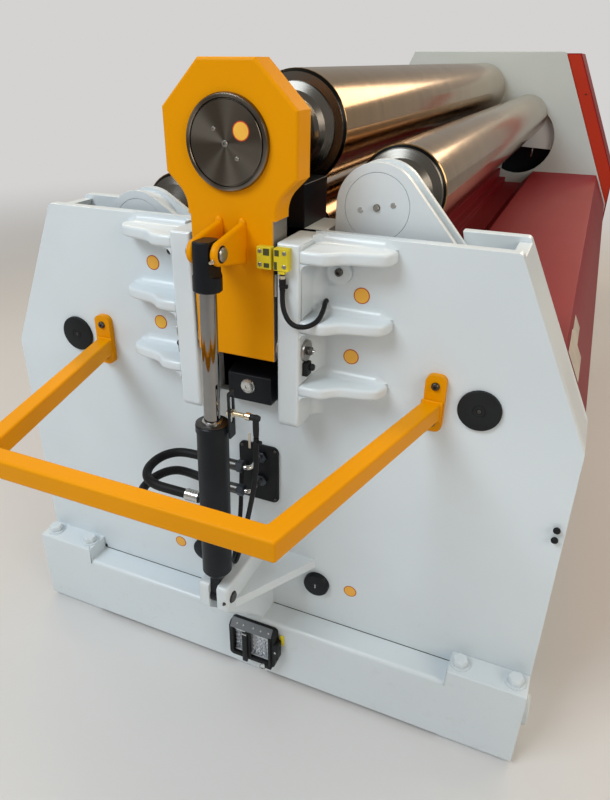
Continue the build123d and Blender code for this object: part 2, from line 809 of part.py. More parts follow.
def cylinder():
    length = math.hypot(rod_pin_y - base_pin_y, rod_pin_z - base_pin_z)
    profile = [
        (0, barrel_low),
        (barrel_r * 0.55, barrel_low),
        (barrel_r, barrel_low + 16),
        (barrel_r, barrel_len - gland_len),
        (gland_r, barrel_len - gland_len),
        (gland_r, barrel_len - 3),
        (gland_r - 3, barrel_len),
        (rod_r + rod_clear, barrel_len),
        (rod_r + rod_clear, barrel_low + 16),
        (0, barrel_low + 16),
    ]
    barrel = revolve(make_face(Plane.XZ * Polyline(*profile, close=True)), axis=Axis.Z)
    eye = Rot(0, 90, 0) * Cylinder(base_eye_r, 2 * base_eye_half)
    neck_h = barrel_low + 6
    eye += Pos(0, 0, neck_h / 2) * Box(2 * base_eye_half, 2 * base_eye_r * 0.8, neck_h)
    barrel += eye
    barrel -= Rot(0, 90, 0) * Cylinder(base_pin_r + running_clear, 4 * base_eye_half)
    barrel = on_cylinder(barrel)
    for route in (upper_hose_route, lower_hose_route):
        x, y, z = route[-1]
        barrel += rod_x(y, z, port_r, x, -barrel_r + 6)
    barrel += block(barrel_r - 7, bracket_plate_x, sensor_y - seat_half, sensor_y + seat_half, seat_low, seat_high)
    add("cylinder_barrel", barrel)

    rod_low = barrel_len - rod_inside
    end_low = length - rod_end_low
    rod_len = end_low - rod_low
    add("cylinder_rod", on_cylinder(Pos(0, 0, rod_low + rod_len / 2) * Cylinder(rod_r, rod_len)))
    end_h = rod_end_low + rod_end_top
    end = Pos(0, 0, end_low + end_h / 2) * Cylinder(rod_end_r, end_h)
    end = chamfer(end.edges().filter_by(GeomType.CIRCLE), 2)
    flat_w = rod_end_r
    cutter = Box(flat_w, 3 * rod_end_r, end_h)
    low_edge = cutter.edges().filter_by(Axis.Y).group_by(Axis.Z)[0].sort_by(Axis.X)[0]
    cutter = Pos(eye_half + flat_w / 2, 0, end_low + rod_end_collar + end_h / 2) * fillet(low_edge, rod_end_runout_r)
    end -= cutter
    end -= mirrored(cutter)
    add("rod_end", on_cylinder(end))


def sensor_set():
    """Slotted bracket on the gland, the sensor through it, and the sensor's angled plug."""
    half = bracket_plate_half
    strip = Pos(sensor_y, (bracket_plate_low + bracket_plate_high) / 2)
    strip = strip * Rectangle(2 * half, bracket_plate_high - bracket_plate_low)
    strip = fillet(strip.vertices(), 3)
    slot_mid = (bracket_slot_low + bracket_slot_high) / 2
    slot_len = bracket_slot_high - bracket_slot_low
    strip -= Pos(sensor_y, slot_mid) * Rot(0, 0, 90) * SlotOverall(slot_len, bracket_slot_w)
    add("sensor_bracket", side_slab(strip, bracket_plate_x, bracket_plate_x + bracket_plate_t))
    sensor = rod_x(sensor_y, sensor_z, sensor_r, sensor_tip_x, sensor_end_x)
    lock = Pos(sensor_y, sensor_z) * RegularPolygon(sensor_lock_r, 6)
    lock_x = bracket_plate_x + bracket_plate_t
    sensor += side_slab(lock, lock_x, lock_x + sensor_lock_t)
    sensor += rod_x(sensor_y, sensor_z, sensor_nut_r, sensor_end_x - sensor_nut_len, sensor_end_x)
    add("sensor", sensor)
    face = polygon([
        (sensor_end_x, plug_top), (plug_end_x - 4, plug_top), (plug_end_x, plug_top - 5),
        (plug_end_x, sensor_z - 18), (plug_end_x - 3, plug_low), (sensor_end_x + 3, plug_low),
        (sensor_end_x, sensor_z - 18),
    ])
    plug = slab(face, sensor_y - plug_half, sensor_y + plug_half)
    add("sensor_plug", fillet(plug.edges(), plug_edge_r / 2))


def rolls():
    back = housing_gap - roll_back_gap
    taper_start = yoke_back() + 3
    nose = -guide_front + 5
    neck = turned([
        (0, nose),
        (journal_radius(nose), nose),
        (journal_radius(taper_start), taper_start),
        (top_journal_r, taper_start + 4),
        (top_journal_r, neck_back),
        (0, neck_back),
    ], 0, top_axis_z)
    add("top_roll_neck", neck)
    top = turned([
        (0, neck_back),
        (top_journal_r, neck_back),
        (top_journal_r + 1.5, neck_back + 12),
        (top_journal_r + 6, neck_back + 22),
        (top_journal_r + 14, neck_back + 31),
        (top_journal_r + 27, neck_back + 38),
        (top_journal_r + 28, roll_front - 3),
        (top_roll_r - 5.5, roll_front - 2),
        (top_roll_r, roll_front + 4),
        (top_roll_r, back - 6),
        (top_roll_r - 6, back),
        (drive_journal_r, back),
        (drive_journal_r, housing_gap + housing_depth + 6),
        (0, housing_gap + housing_depth + 6),
    ], 0, top_axis_z)
    add("top_roll", top)
    bottom_back = housing_gap + housing_depth - block_front - 12
    bottom = turned([
        (0, block_front + 12),
        (bottom_journal_r, block_front + 12),
        (bottom_journal_r, roll_front - 30),
        (bottom_roll_r - 8, roll_front),
        (bottom_roll_r, roll_front + 6),
        (bottom_roll_r, back - 6),
        (bottom_roll_r - 6, back),
        (bottom_journal_r, back),
        (bottom_journal_r, bottom_back),
        (0, bottom_back),
    ], 0, bottom_axis_z)
    add("bottom_roll", bottom)
    for name, side, angle in (("right", 1, right_angle), ("left", -1, left_angle)):
        x, z = roll_centre(angle)
        front_tip = arm_front + disc_t + 2
        back_tip = housing_gap + housing_depth - arm_front - 6
        add(name + "_roll", turned([
            (0, front_tip),
            (side_journal_r, front_tip),
            (side_journal_r, side_roll_front - 26),
            (side_roll_r - 22, side_roll_front - 6),
            (side_roll_r - 8, side_roll_front),
            (side_roll_r, side_roll_front + 6),
            (side_roll_r, back - 6),
            (side_roll_r - 6, back),
            (side_journal_r, back),
            (side_journal_r, back_tip),
            (0, back_tip),
        ], side * x, z))


def roll_centre(angle):
    """Place of a side roll's axis for one angle of its arm, on the right-hand side."""
    a = math.radians(angle)
    return arm_pivot_x + arm_orbit * math.cos(a), arm_pivot_z + arm_orbit * math.sin(a)


def arm_face():
    """Outline of the right arm in its raised place: head, axle boss and cylinder lobe in one hull."""
    x, z = roll_centre(right_angle)
    head = Pos(x, z) * Circle(arm_head_r)
    boss = Pos(arm_pivot_x, arm_pivot_z) * Circle(arm_boss_r)
    lobe = Pos(arm_lobe_x, arm_lobe_z) * Circle(arm_lobe_r)
    face = make_hull(head.edges() + boss.edges() + lobe.edges())
    face -= Pos(x, z) * Circle(side_journal_r + running_clear)
    face -= Pos(arm_pivot_x, arm_pivot_z) * Circle(arm_stub_r + running_clear)
    return face


def forked(face, y, x, z):
    """Arm from y backwards: solid at head and axle, and two plates round a link pin at the lobe."""
    arm = slab(face, y, y + arm_t)
    gap = Pos(arm_lobe_x, z) * Rectangle(4 * arm_orbit, 4 * arm_orbit)
    gap -= Pos(x, z) * Circle(fork_head_r)
    gap -= Pos(arm_pivot_x, arm_pivot_z) * Circle(fork_boss_r)
    arm -= slab(gap, y + fork_plate_t, y + arm_t - fork_plate_t)
    arm += rod_y(arm_lobe_x, arm_lobe_z, link_pin_r, y + 1, y + arm_t - 1)
    return arm.solid()


def arms():
    face = arm_face()
    x, z = roll_centre(right_angle)
    rear = housing_gap + housing_depth - arm_front - arm_t
    front = forked(face, arm_front, x, z)
    front -= rod_y(x, z, disc_r + disc_clear, arm_front - 1, arm_front + disc_t)
    pair = [front.solid(), forked(face, rear, x, z)]
    disc = rod_y(x, z, disc_r, arm_front, arm_front + disc_t)
    axle = Axis((arm_pivot_x, 0, arm_pivot_z), (0, 1, 0))
    for name, side, angle in (("right", 1, right_angle), ("left", -1, left_angle)):
        turn = right_angle - angle
        for part_name, solids in ((name + "_arms", pair), (name + "_arm_cover", [disc])):
            placed = [s.rotate(axle, turn) for s in solids]
            if side < 0:
                placed = [mirrored(s) for s in placed]
            add(part_name, *placed)


def bottom_blocks():
    half = guide_inner - slide_clear
    front = block(-half, half, block_front, block_front + block_depth, block_bottom, block_top)
    front -= rod_y(0, bottom_axis_z, bottom_journal_r + running_clear, block_front - 1, block_front + block_depth + 1)
    add("bottom_front_block", front)
    back = housing_gap + housing_depth - block_front
    rear = block(-half, half, back - block_depth, back, block_bottom, rear_block_top)
    rear -= rod_y(0, bottom_axis_z, bottom_journal_r + running_clear, back - block_depth - 1, back + 1)
    add("bottom_rear_block", rear)


def cord_tube(points, diameter, label):
    """Round tube along straight runs that tangent arcs join. Each arc is as large as its runs allow."""
    path_points = [Vector(x, y_at(y), z) for x, y, z in points]
    runs = [b - a for a, b in zip(path_points, path_points[1:])]
    radii = []
    for before, after in zip(runs, runs[1:]):
        half_turn = math.radians(before.get_angle(after)) / 2
        radii.append(0.45 * min(before.length, after.length) / math.tan(half_turn))
    path = FilletPolyline(*path_points, radius=radii)
    start = Plane(origin=path_points[0], z_dir=runs[0])
    tube = sweep(start * Circle(diameter / 2), path=path)
    print(label, "length", round(path.length, 1), "radii", [round(r, 1) for r in radii])
    return tube


def cords():
    add("switch_cable", cord_tube(switch_cable_route, cable_d, "switch_cable"))
    add("upper_hose", cord_tube(upper_hose_route, hose_d, "upper_hose"))
    add("lower_hose", cord_tube(lower_hose_route, hose_d, "lower_hose"))
    add("sensor_cable", cord_tube(sensor_cable_route, sensor_cable_d, "sensor_cable"))


front_housing()
guide_walls()
slot_fittings()
arm_stubs()
plate_caps()
base_frame()
side_covers()
drive_housing()
guard_rail()
front_fittings()
hose_elbows()
cylinder_lug()
drop_end()
cylinder()
sensor_set()
rolls()
arms()
bottom_blocks()
cords()

os.makedirs("parts", exist_ok=True)
for node, solid in nodes.items():
    export_step(solid, "parts/" + node + ".step")
    print(node, round(solid.volume / 1000), "cm3")
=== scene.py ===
# %% [markdown]
# # A four-roll plate bending machine
# The machine bends steel plate between four long rolls. Its near end, the yellow yoke, tilts out
# on a pin so that a closed tube can be drawn off the top roll. The solids come from a fixed frame
# and keep their size. This lesson gives them their finishes, and adds the small things that make
# the machine look made: bolts, hoses, stickers, a sensor and the rounded edges of castings.

# %% Load the frame
import json
import math

import bpy
from mathutils import Matrix, Vector


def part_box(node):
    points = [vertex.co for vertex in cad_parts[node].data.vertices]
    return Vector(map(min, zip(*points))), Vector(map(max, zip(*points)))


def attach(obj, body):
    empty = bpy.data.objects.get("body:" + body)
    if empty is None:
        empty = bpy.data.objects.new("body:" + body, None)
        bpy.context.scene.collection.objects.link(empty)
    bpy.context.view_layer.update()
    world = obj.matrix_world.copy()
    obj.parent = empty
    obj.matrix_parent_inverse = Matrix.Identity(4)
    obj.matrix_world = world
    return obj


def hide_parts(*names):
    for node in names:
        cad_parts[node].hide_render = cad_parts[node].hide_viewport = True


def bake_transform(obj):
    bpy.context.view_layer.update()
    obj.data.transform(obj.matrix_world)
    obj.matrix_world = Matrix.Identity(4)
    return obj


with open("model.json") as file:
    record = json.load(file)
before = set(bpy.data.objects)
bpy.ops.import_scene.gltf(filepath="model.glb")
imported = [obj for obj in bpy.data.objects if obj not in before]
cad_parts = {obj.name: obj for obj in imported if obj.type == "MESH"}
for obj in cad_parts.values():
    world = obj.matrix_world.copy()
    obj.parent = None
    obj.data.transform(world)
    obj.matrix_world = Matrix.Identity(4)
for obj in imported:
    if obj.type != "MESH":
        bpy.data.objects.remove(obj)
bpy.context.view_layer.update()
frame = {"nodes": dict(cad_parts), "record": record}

# %% [markdown]
# The frame is in metres, and machine drawings are in millimetres. One helper turns a place on
# the drawing into a place in the scene. On the drawing, y counts back from the face of the front
# plate, so everything bolted to that plate has a small y. The places that several pieces share
# are the axis of the top roll, the pin the yoke tilts on, and the two pins of the cylinder.

# %% Places
MM = 0.001
face_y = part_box("front_plate")[0].y
FRONT, RIGHT, LEFT, UP, DOWN = (0, -1, 0), (1, 0, 0), (-1, 0, 0), (0, 0, 1), (0, 0, -1)
SIDES = (("left", -1, LEFT), ("right", 1, RIGHT))
top_axis_z = 1114
pivot_y, pivot_z = -45, 800
base_pin, rod_pin = Vector((0, -174, 336)), Vector((0, -147, 973))


def at(x, y, z):
    """Point in the scene for a place on the drawing, in millimetres."""
    return Vector((x * MM, face_y + y * MM, z * MM))


def linked(name, data):
    """New object in the scene for some data."""
    obj = bpy.data.objects.new(name, data)
    bpy.context.collection.objects.link(obj)
    return obj


def middle(node):
    """Middle of a node on the drawing."""
    low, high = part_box(node)
    return ((low + high) / 2 - Vector((0, face_y, 0))) / MM


print("the plate's face is at y =", round(face_y, 4))

# %% [markdown]
# ## The camera
# The picture was taken by hand, from the right of the drop end and a little above the top roll.
# Its place and lens were worked out from straight edges of the housings. The lens is given as
# pixels of focal length, and a small shift puts the optical centre where it was.

# %% Camera
PHOTO_W, PHOTO_H = 610, 800
focal_px = 649.37
centre_px = (290.88, 407.56)
camera_place = at(490.19, -955.59, 1222.54)
turn_left, look_down, roll = 23.693, 28.288, 0.325

camera_data = bpy.data.cameras.new("camera")
camera_data.sensor_fit = "VERTICAL"
camera_data.sensor_height = 24
camera_data.lens = focal_px / PHOTO_H * camera_data.sensor_height
camera_data.shift_x = (PHOTO_W / 2 - centre_px[0]) / PHOTO_H
camera_data.shift_y = (centre_px[1] - PHOTO_H / 2) / PHOTO_H
camera_data.clip_start, camera_data.clip_end = 0.02, 100
camera = linked("camera", camera_data)
yaw, pitch, tilt = (math.radians(a) for a in (turn_left, look_down, roll))
level = math.cos(pitch)
forward = Vector((-math.sin(yaw) * level, math.cos(yaw) * level, -math.sin(pitch)))
level_right = forward.cross(Vector((0, 0, 1))).normalized()
level_up = level_right.cross(forward)
right = math.cos(tilt) * level_right + math.sin(tilt) * level_up
up = -math.sin(tilt) * level_right + math.cos(tilt) * level_up
camera.matrix_world = Matrix((
    (right.x, up.x, -forward.x, camera_place.x),
    (right.y, up.y, -forward.y, camera_place.y),
    (right.z, up.z, -forward.z, camera_place.z),
    (0, 0, 0, 1),
))
bpy.context.scene.camera = camera
bpy.context.scene.view_settings.view_transform = "Standard"

# %% [markdown]
# ## Hoses and cables
# Two oil hoses leave bent pipes on the cover plate, loop out to the left and come back to the
# front of the cylinder, so that they can give when the cylinder swings out. Each is one smooth
# spline through the places where the hose is seen to pass. A hose between the frame and the
# cylinder is made as a mesh tube.


# %% Hoses and cables
def route_line(name, route, diameter=0.0):
    """One open NURBS curve with the places of a route as its control points."""
    data = bpy.data.curves.new(name, "CURVE")
    data.dimensions = "3D"
    spline = data.splines.new("NURBS")
    spline.points.add(len(route) - 1)
    for point, place in zip(spline.points, route):
        point.co = (*at(*place), 1)
        point.radius = max(diameter, 1) / 2 * MM
    spline.order_u = 3
    spline.use_endpoint_u = True
    spline.resolution_u = 12
    data.bevel_depth = 1.0 if diameter else 0.0
    data.bevel_resolution = 8
    data.use_fill_caps = diameter > 0
    return linked(name, data)


def hose(name, route, diameter, start, end):
    """Mesh tube along a route, for a hose between the frame and the cylinder. start and end are not
    used.
    """
    thin = route_line(name + "_thin", route)
    path = [v.co.copy() for v in bpy.data.meshes.new_from_object(thin).vertices]
    thick = route_line(name + "_thick", route, diameter)
    made = linked(name + "_rubber", bpy.data.meshes.new_from_object(thick))
    for line in (thin, thick):
        bpy.data.objects.remove(line)
    made.data.polygons.foreach_set("use_smooth", [True] * len(made.data.polygons))
    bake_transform(made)
    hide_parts(name)
    print(name, len(path), "points along its line")
    return made


upper_hose = hose("upper_hose", [
    (-14, -55, 545), (-60, -55, 545), (-105, -54, 545), (-140, -58, 545), (-160, -77, 544.5),
    (-167, -105, 544), (-163, -135, 543.5), (-147, -158, 543), (-122, -169, 542.5),
    (-90, -168, 541.5), (-57, -168, 541.5),
], 17.5, at(0, -62, 540), at(0, -160, 540))
lower_hose = hose("lower_hose", [
    (-14, -55, 491), (-60, -55, 491), (-105, -49, 491), (-150, -44, 491), (-172, -57, 491),
    (-184, -82, 490.5), (-187, -110, 490.5), (-180, -140, 490), (-160, -163, 490),
    (-130, -174, 489.5), (-95, -171, 489), (-57, -171, 489),
], 17.5, at(0, -62, 490), at(0, -160, 490))
sensor_cable = hose("sensor_cable", [
    (77, -153, 682), (77, -153, 655), (75, -153, 615), (68, -152, 570), (57, -150, 518),
    (43, -147, 462), (31, -144, 417), (20, -139, 388), (7, -123, 374), (-3, -98, 375),
    (-12, -66, 391), (-18, -44, 425), (-20.5, -34, 465), (-21, -29, 500), (-21, -27, 520),
    (-21, -5, 520),
], 9, at(0, -40, 450), at(0, -128, 450))

# %% [markdown]
# The cable of the safety switch stays on the frame, so it can be a curve.

# %% Switch cable
switch_cable = route_line("switch_cable_rubber", [
    (89.5, -77.5, 939), (89, -77.5, 905), (93, -83, 877), (108, -87, 857), (131, -85, 855),
    (144, -62, 860), (141, -30, 871), (134, -8, 873.5), (133.5, 0, 873.5),
], 8)
at(89.5, -77.5, 939)
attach(switch_cable, "root")
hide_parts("switch_cable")

# %% [markdown]
# ## Finishes
# Every finish is made of nodes, so it has no pictures and works at any scale. Writing the maths
# of a finish as plain expressions keeps it readable: the class below wraps a socket, and adds a
# Math node for each operator that is used on it.


# %% Shader maths
class Term:
    """A socket that can stand in an expression."""

    def __init__(self, finish, socket):
        self.finish = finish
        self.socket = socket

    def math(self, operation, *values):
        return self.finish.node("ShaderNodeMath", {"operation": operation}, values)

    def __add__(self, other):
        return self.math("ADD", self, other)

    __radd__ = __add__

    def __sub__(self, other):
        return self.math("SUBTRACT", self, other)

    def __rsub__(self, other):
        return self.math("SUBTRACT", other, self)

    def __mul__(self, other):
        return self.math("MULTIPLY", self, other)

    __rmul__ = __mul__

    def between(self, low, high):
        """0 below low, 1 above high, smooth between them."""
        settings = {"interpolation_type": "SMOOTHSTEP", "clamp": True}
        values = {"Value": self, "From Min": low, "From Max": high}
        return self.finish.node("ShaderNodeMapRange", settings, values)

    def hypot(self, other):
        """Length of the diagonal over two lengths."""
        square = self * self + other * other
        return square.math("SQRT", square)


class Finish:
    """A material whose surface is one Principled shader."""

    def __init__(self, name, **constants):
        self.material = bpy.data.materials.new(name)
        self.material.use_nodes = True
        self.tree = self.material.node_tree
        self.shader = self.tree.nodes["Principled BSDF"]
        for key, value in constants.items():
            socket = key.replace("_", " ").title().replace("Ior", "IOR")
            self.shader.inputs[socket].default_value = value

    def node(self, kind, settings, values, output=0):
        """Adds a node, sets it up, fills its sockets, and gives one output."""
        made = self.tree.nodes.new(kind)
        for key, value in settings.items():
            setattr(made, key, value)
        pairs = values.items() if isinstance(values, dict) else enumerate(values)
        for key, value in pairs:
            if isinstance(value, Term):
                self.tree.links.new(value.socket, made.inputs[key])
            else:
                made.inputs[key].default_value = value
        return Term(self, made.outputs[output])

    def place(self):
        return self.node("ShaderNodeTexCoord", {}, {}, "Object")

    def axes(self):
        """X, Y and Z of the place, each as a number."""
        split = self.tree.nodes.new("ShaderNodeSeparateXYZ")
        self.tree.links.new(self.place().socket, split.inputs[0])
        return [Term(self, s) for s in split.outputs]

    def stretched(self, scale):
        """The place, scaled differently along each axis."""
        return self.node("ShaderNodeVectorMath", {"operation": "MULTIPLY"}, [self.place(), scale])

    def noise(self, scale, detail=2.0, where=None, rough=0.5):
        where = where or self.place()
        values = {"Vector": where, "Scale": scale, "Detail": detail, "Roughness": rough}
        return self.node("ShaderNodeTexNoise", {}, values)

    def mix(self, factor, *colours):
        """Colour between two colours, each a term or three numbers."""
        first, second = (c if isinstance(c, Term) else (*c, 1) for c in colours)
        return self.node("ShaderNodeMix", {"data_type": "RGBA"}, {0: factor, 6: first, 7: second}, 2)

    def give(self, socket, term):
        self.tree.links.new(term.socket, self.shader.inputs[socket])

    def bump(self, height, distance, strength=1.0):
        values = {"Height": height, "Distance": distance, "Strength": strength}
        self.give("Normal", self.node("ShaderNodeBump", {}, values))


# %% [markdown]
# ### Paint
# The housings are sprayed with gloss enamel. From close by, such paint has a faint orange peel,
# a slow change of gloss from one area to the next, and some dust and scuffs low down. All the
# colours share one recipe. The yoke also has bare machined flanks, where it slides between its
# guides: there the same shader turns to metal.


# %% Paint
def enamel(name, colour, dirt_colour, gloss=0.26, shine=0.5, coat=0.25, bare_below=None):
    """Sprayed paint. shine is its own mirror, coat a clear layer over it, and bare_below gives
    half the width of the bare flanks and the height where they end."""
    paint = Finish(name, specular_ior_level=shine, coat_roughness=0.12)
    x, _, z = paint.axes()
    cloud = paint.noise(2.2, 3.0)
    scuff = paint.noise(34.0, 6.0, rough=0.7).between(0.56, 0.72)
    low = 1.0 - z.between(0.02, 0.4)
    dirt = scuff * low * 0.14 + low * 0.05
    deep = tuple(c * 0.93 for c in colour)
    clean = paint.mix(cloud.between(0.35, 0.7), colour, deep)
    shade = paint.mix(dirt, clean, dirt_colour)
    rough = gloss + 0.10 * cloud + 0.25 * dirt
    if bare_below:
        half, top = bare_below
        below = 1.0 - z.between(top, top + 0.001)
        bare = (x * x).between((half - 0.0006) ** 2, (half - 0.0003) ** 2) * below
        grain = paint.noise(1.0, 4.0, paint.stretched((30, 30, 900)), 0.6)
        metal = paint.mix(grain, (0.44, 0.42, 0.38), (0.26, 0.25, 0.23))
        shade = paint.mix(bare, shade, metal)
        rough = rough + bare * 0.12
        paint.give("Metallic", bare)
        paint.give("Coat Weight", coat - coat * bare)
    else:
        paint.shader.inputs["Coat Weight"].default_value = coat
    paint.give("Base Color", shade)
    paint.give("Roughness", rough)
    paint.bump(paint.noise(330.0, 1.0), 0.00006)
    return paint.material


GREY_DIRT, RED_DIRT, YELLOW_DIRT = (0.33, 0.32, 0.29), (0.13, 0.03, 0.02), (0.45, 0.24, 0.03)
YELLOW = (0.80, 0.315, 0.0)
white_paint = enamel("white_enamel", (0.70, 0.765, 0.80), GREY_DIRT)
red_paint = enamel("red_enamel", (0.22, 0.008, 0.013), RED_DIRT, 0.42, 0.10, 0.0)
# Painted warm light: a lighter, warmer copy of the red enamel for the shroud's front flange, which is
# the same red.
lit_red_paint = enamel("red_enamel_lit", (0.40, 0.032, 0.014), RED_DIRT, 0.42, 0.1, 0.0)
# Painted shade: a darker copy of the white enamel for the drive plate, which is white.
shaded_white_paint = enamel("white_enamel_shaded", (0.48, 0.54, 0.55), GREY_DIRT)
yellow_paint = enamel("yellow_enamel", YELLOW, YELLOW_DIRT, 0.34, 0.09, 0.0)
yoke_paint = enamel("yoke_enamel", YELLOW, YELLOW_DIRT, 0.34, 0.09, 0.0, bare_below=(0.0715, 1.008))

# %% [markdown]
# ### Steel
# The rolls are ground: the wheel leaves fine rings round them, so light runs along a roll in
# long streaks. Rings come from noise that changes fast along Y and slowly across it. The end of
# a roll is turned, not ground, so past its front edge it is greyer, with an oily black rim.


# %% Steel
def roll_steel(node, front, radius):
    """Ground steel for one roll. front is where its working length starts, and a rim of the given
    radius is the black edge of its end."""
    steel = Finish("ground_" + node, metallic=1.0)
    x, y, z = steel.axes()
    centre = middle(node)
    out = (x - centre.x * MM).hypot(z - centre.z * MM)
    fine = steel.noise(1.0, 6.0, steel.stretched((4, 900, 4)), 0.65)
    bands = steel.noise(1.0, 3.0, steel.stretched((1.2, 38, 1.2)), 0.5)
    stain = steel.noise(5.0, 4.0)
    # The ground length's warm bronze tone is a painted warm reflection, not the steel's own colour; its
    # bands and stains are the steel's own tone.
    stain_and_warm_reflection = steel.mix(bands * 0.6 + stain * 0.5, (0.58, 0.37, 0.165), (0.23, 0.135, 0.055))
    start = face_y + front * MM
    ground = y.between(start - 0.0004, start)
    edge = out.between(radius * MM - 0.0006, radius * MM)
    end = steel.mix(edge, (0.15, 0.14, 0.125), (0.012, 0.012, 0.012))
    steel.give("Base Color", steel.mix(ground, end, stain_and_warm_reflection))
    steel.give("Roughness", 0.06 + 0.11 * fine + 0.05 * stain + 0.14 * (1.0 - ground))
    steel.bump(fine, 0.00002, 0.7)
    return steel.material


def turned_steel(name, light, dark, rough, painted_sheen_fans=None):
    """Steel with rings about the top roll's axis. fans, when given, is the colour of two bright sectors
    painted in by angle: a painted sheen.
    """
    steel = Finish(name, metallic=1.0)
    rings_per_metre = 2600
    across, y, z = steel.axes()
    height = z - top_axis_z * MM
    radius = across.hypot(height)
    groove = [radius * rings_per_metre, y * (rings_per_metre / 2), 0.0]
    rings = steel.noise(1.0, 4.0, steel.node("ShaderNodeCombineXYZ", {}, groove), 0.6)
    shade = steel.mix(rings, light, dark)
    # Painted sheen: two bright sectors by angle round the axis, lighter than the steel itself.
    if painted_sheen_fans:
        turn = steel.node("ShaderNodeCombineXYZ", {}, [across, height, 0.0])
        turn = steel.node("ShaderNodeVectorMath", {"operation": "NORMALIZE"}, [turn])
        shade = steel.mix(steel.noise(0.9, 1.0, turn).between(0.40, 0.68) * 0.75, shade, painted_sheen_fans)
    steel.give("Base Color", shade)
    steel.give("Roughness", rough + 0.2 * rings)
    steel.bump(rings, 0.00003, 0.6)
    return steel.material


def plain_metal(name, colour, rough, grain=0.06):
    metal = Finish(name, metallic=1.0)
    cloud = metal.noise(60.0, 4.0)
    shade = tuple(c * 0.8 for c in colour)
    metal.give("Base Color", metal.mix(cloud, colour, shade))
    metal.give("Roughness", rough + grain * metal.noise(420.0, 3.0))
    return metal.material


# The neck's steel colour is kept dark: a painted dark reflection of its surroundings.
neck_steel = turned_steel("turned_neck_steel", (0.36, 0.36, 0.35), (0.15, 0.145, 0.14), 0.12)
# The cap's steel paints two bright sectors into its colour by angle: a painted sheen.
cap_steel = turned_steel("turned_cap_steel", (0.155, 0.13, 0.105), (0.085, 0.072, 0.058), 0.15,
                         painted_sheen_fans=(0.36, 0.33, 0.29))
# The rod's chrome colour is kept dark: a painted dark reflection.
chrome = plain_metal("rod_chrome", (0.30, 0.29, 0.28), 0.05, 0.04)
zinc = plain_metal("zinc_plate", (0.66, 0.66, 0.64), 0.24)
nickel = plain_metal("nickel_plate", (0.78, 0.70, 0.54), 0.18)
dark_steel = plain_metal("oiled_dark_steel", (0.11, 0.105, 0.10), 0.32)
bare_steel = plain_metal("machined_steel", (0.42, 0.40, 0.37), 0.32)
socket_metal = plain_metal("cast_contact_metal", (0.78, 0.80, 0.83), 0.3)
lid_metal = plain_metal("dark_cast_lid", (0.16, 0.165, 0.17), 0.42)
pipe_steel = Finish("pipe_zinc_and_dark_nuts", metallic=1.0)
x, y, _ = pipe_steel.axes()
nuts = pipe_steel.node("ShaderNodeMath", {"operation": "MAXIMUM"},
                       [y.between(face_y - 0.015, face_y - 0.014), 1.0 - x.between(-0.002, -0.001)])
pipe_steel.give("Base Color", pipe_steel.mix(nuts, (0.62, 0.60, 0.56), (0.07, 0.08, 0.095)))
pipe_steel.give("Roughness", 0.2 + 0.15 * nuts)


# %% [markdown]
# ### Black parts, rubber and plastic
# The cylinder is painted satin black. Rubber and moulded covers are matt, with a fine grain. The
# stickers stay blank.


# %% Blacks and plastics
def grained(name, colour, rough, grain, height, coat=0.0, shine=0.4):
    skin = Finish(name, specular_ior_level=shine, coat_weight=coat, coat_roughness=0.2)
    cloud = skin.noise(9.0, 3.0)
    lighter = tuple(min(1, c * 1.5 + 0.004) for c in colour)
    skin.give("Base Color", skin.mix(cloud.between(0.4, 0.75), colour, lighter))
    skin.give("Roughness", rough + 0.12 * cloud)
    skin.bump(skin.noise(grain, 2.0), height)
    return skin.material


black_paint = grained("black_satin_paint", (0.005, 0.007, 0.010), 0.34, 380.0, 0.00005, 0.04, 0.2)
black_plastic = grained("black_moulding", (0.006, 0.007, 0.008), 0.46, 900.0, 0.00004, 0.0, 0.24)
rubber = grained("hose_rubber", (0.006, 0.006, 0.007), 0.48, 1500.0, 0.00012, 0.0, 0.22)
switch_yellow = grained("switch_yellow_plastic", (0.62, 0.50, 0.02), 0.42, 700.0, 0.00003, 0.0, 0.25)
sticker_amber = grained("sticker_amber", (0.88, 0.44, 0.06), 0.36, 500.0, 0.00001, 0.0, 0.3)
sticker_red = grained("sticker_red_rim", (0.46, 0.05, 0.015), 0.36, 500.0, 0.00001, 0.0, 0.3)
label_grey = grained("blank_label_foil", (0.40, 0.34, 0.27), 0.3, 500.0, 0.00001)
patch_dark = grained("blank_dark_patch", (0.05, 0.055, 0.02), 0.45, 500.0, 0.00001)
# A black for painted shadows in seams and gaps.
painted_shadow_black = grained("seam_shadow_black", (0.01, 0.01, 0.01), 0.8, 500.0, 0.00001)
for cord in (upper_hose, lower_hose, sensor_cable, switch_cable):
    cord.data.materials.clear()
    cord.data.materials.append(rubber)

# %% [markdown]
# ## Workshop tools
# Pieces are modelled the way a turner and a welder would: a round part grows ring by ring from a
# circle, and a cast or welded part gets its edges broken. These few helpers do that, so each
# piece below is only its own sizes. Parts are joined, and get a name, when the piece is done.


# %% Workshop tools
def deselect():
    if bpy.context.mode != "OBJECT":
        bpy.ops.object.mode_set(mode="OBJECT")
    bpy.ops.object.select_all(action="DESELECT")


def pick(obj):
    deselect()
    obj.select_set(True)
    bpy.context.view_layer.objects.active = obj


def edit_all(obj):
    """Opens a piece for editing, with all of it selected."""
    pick(obj)
    bpy.ops.object.mode_set(mode="EDIT")
    bpy.ops.mesh.select_all(action="SELECT")


def outward(obj):
    """Makes all faces of a piece face outward."""
    edit_all(obj)
    bpy.ops.mesh.normals_make_consistent(inside=False)
    bpy.ops.object.mode_set(mode="OBJECT")
    return obj


def applied(obj):
    """Applies the place, turn and scale of a piece to its mesh."""
    pick(obj)
    bpy.ops.object.transform_apply(location=True, rotation=True, scale=True)
    return obj


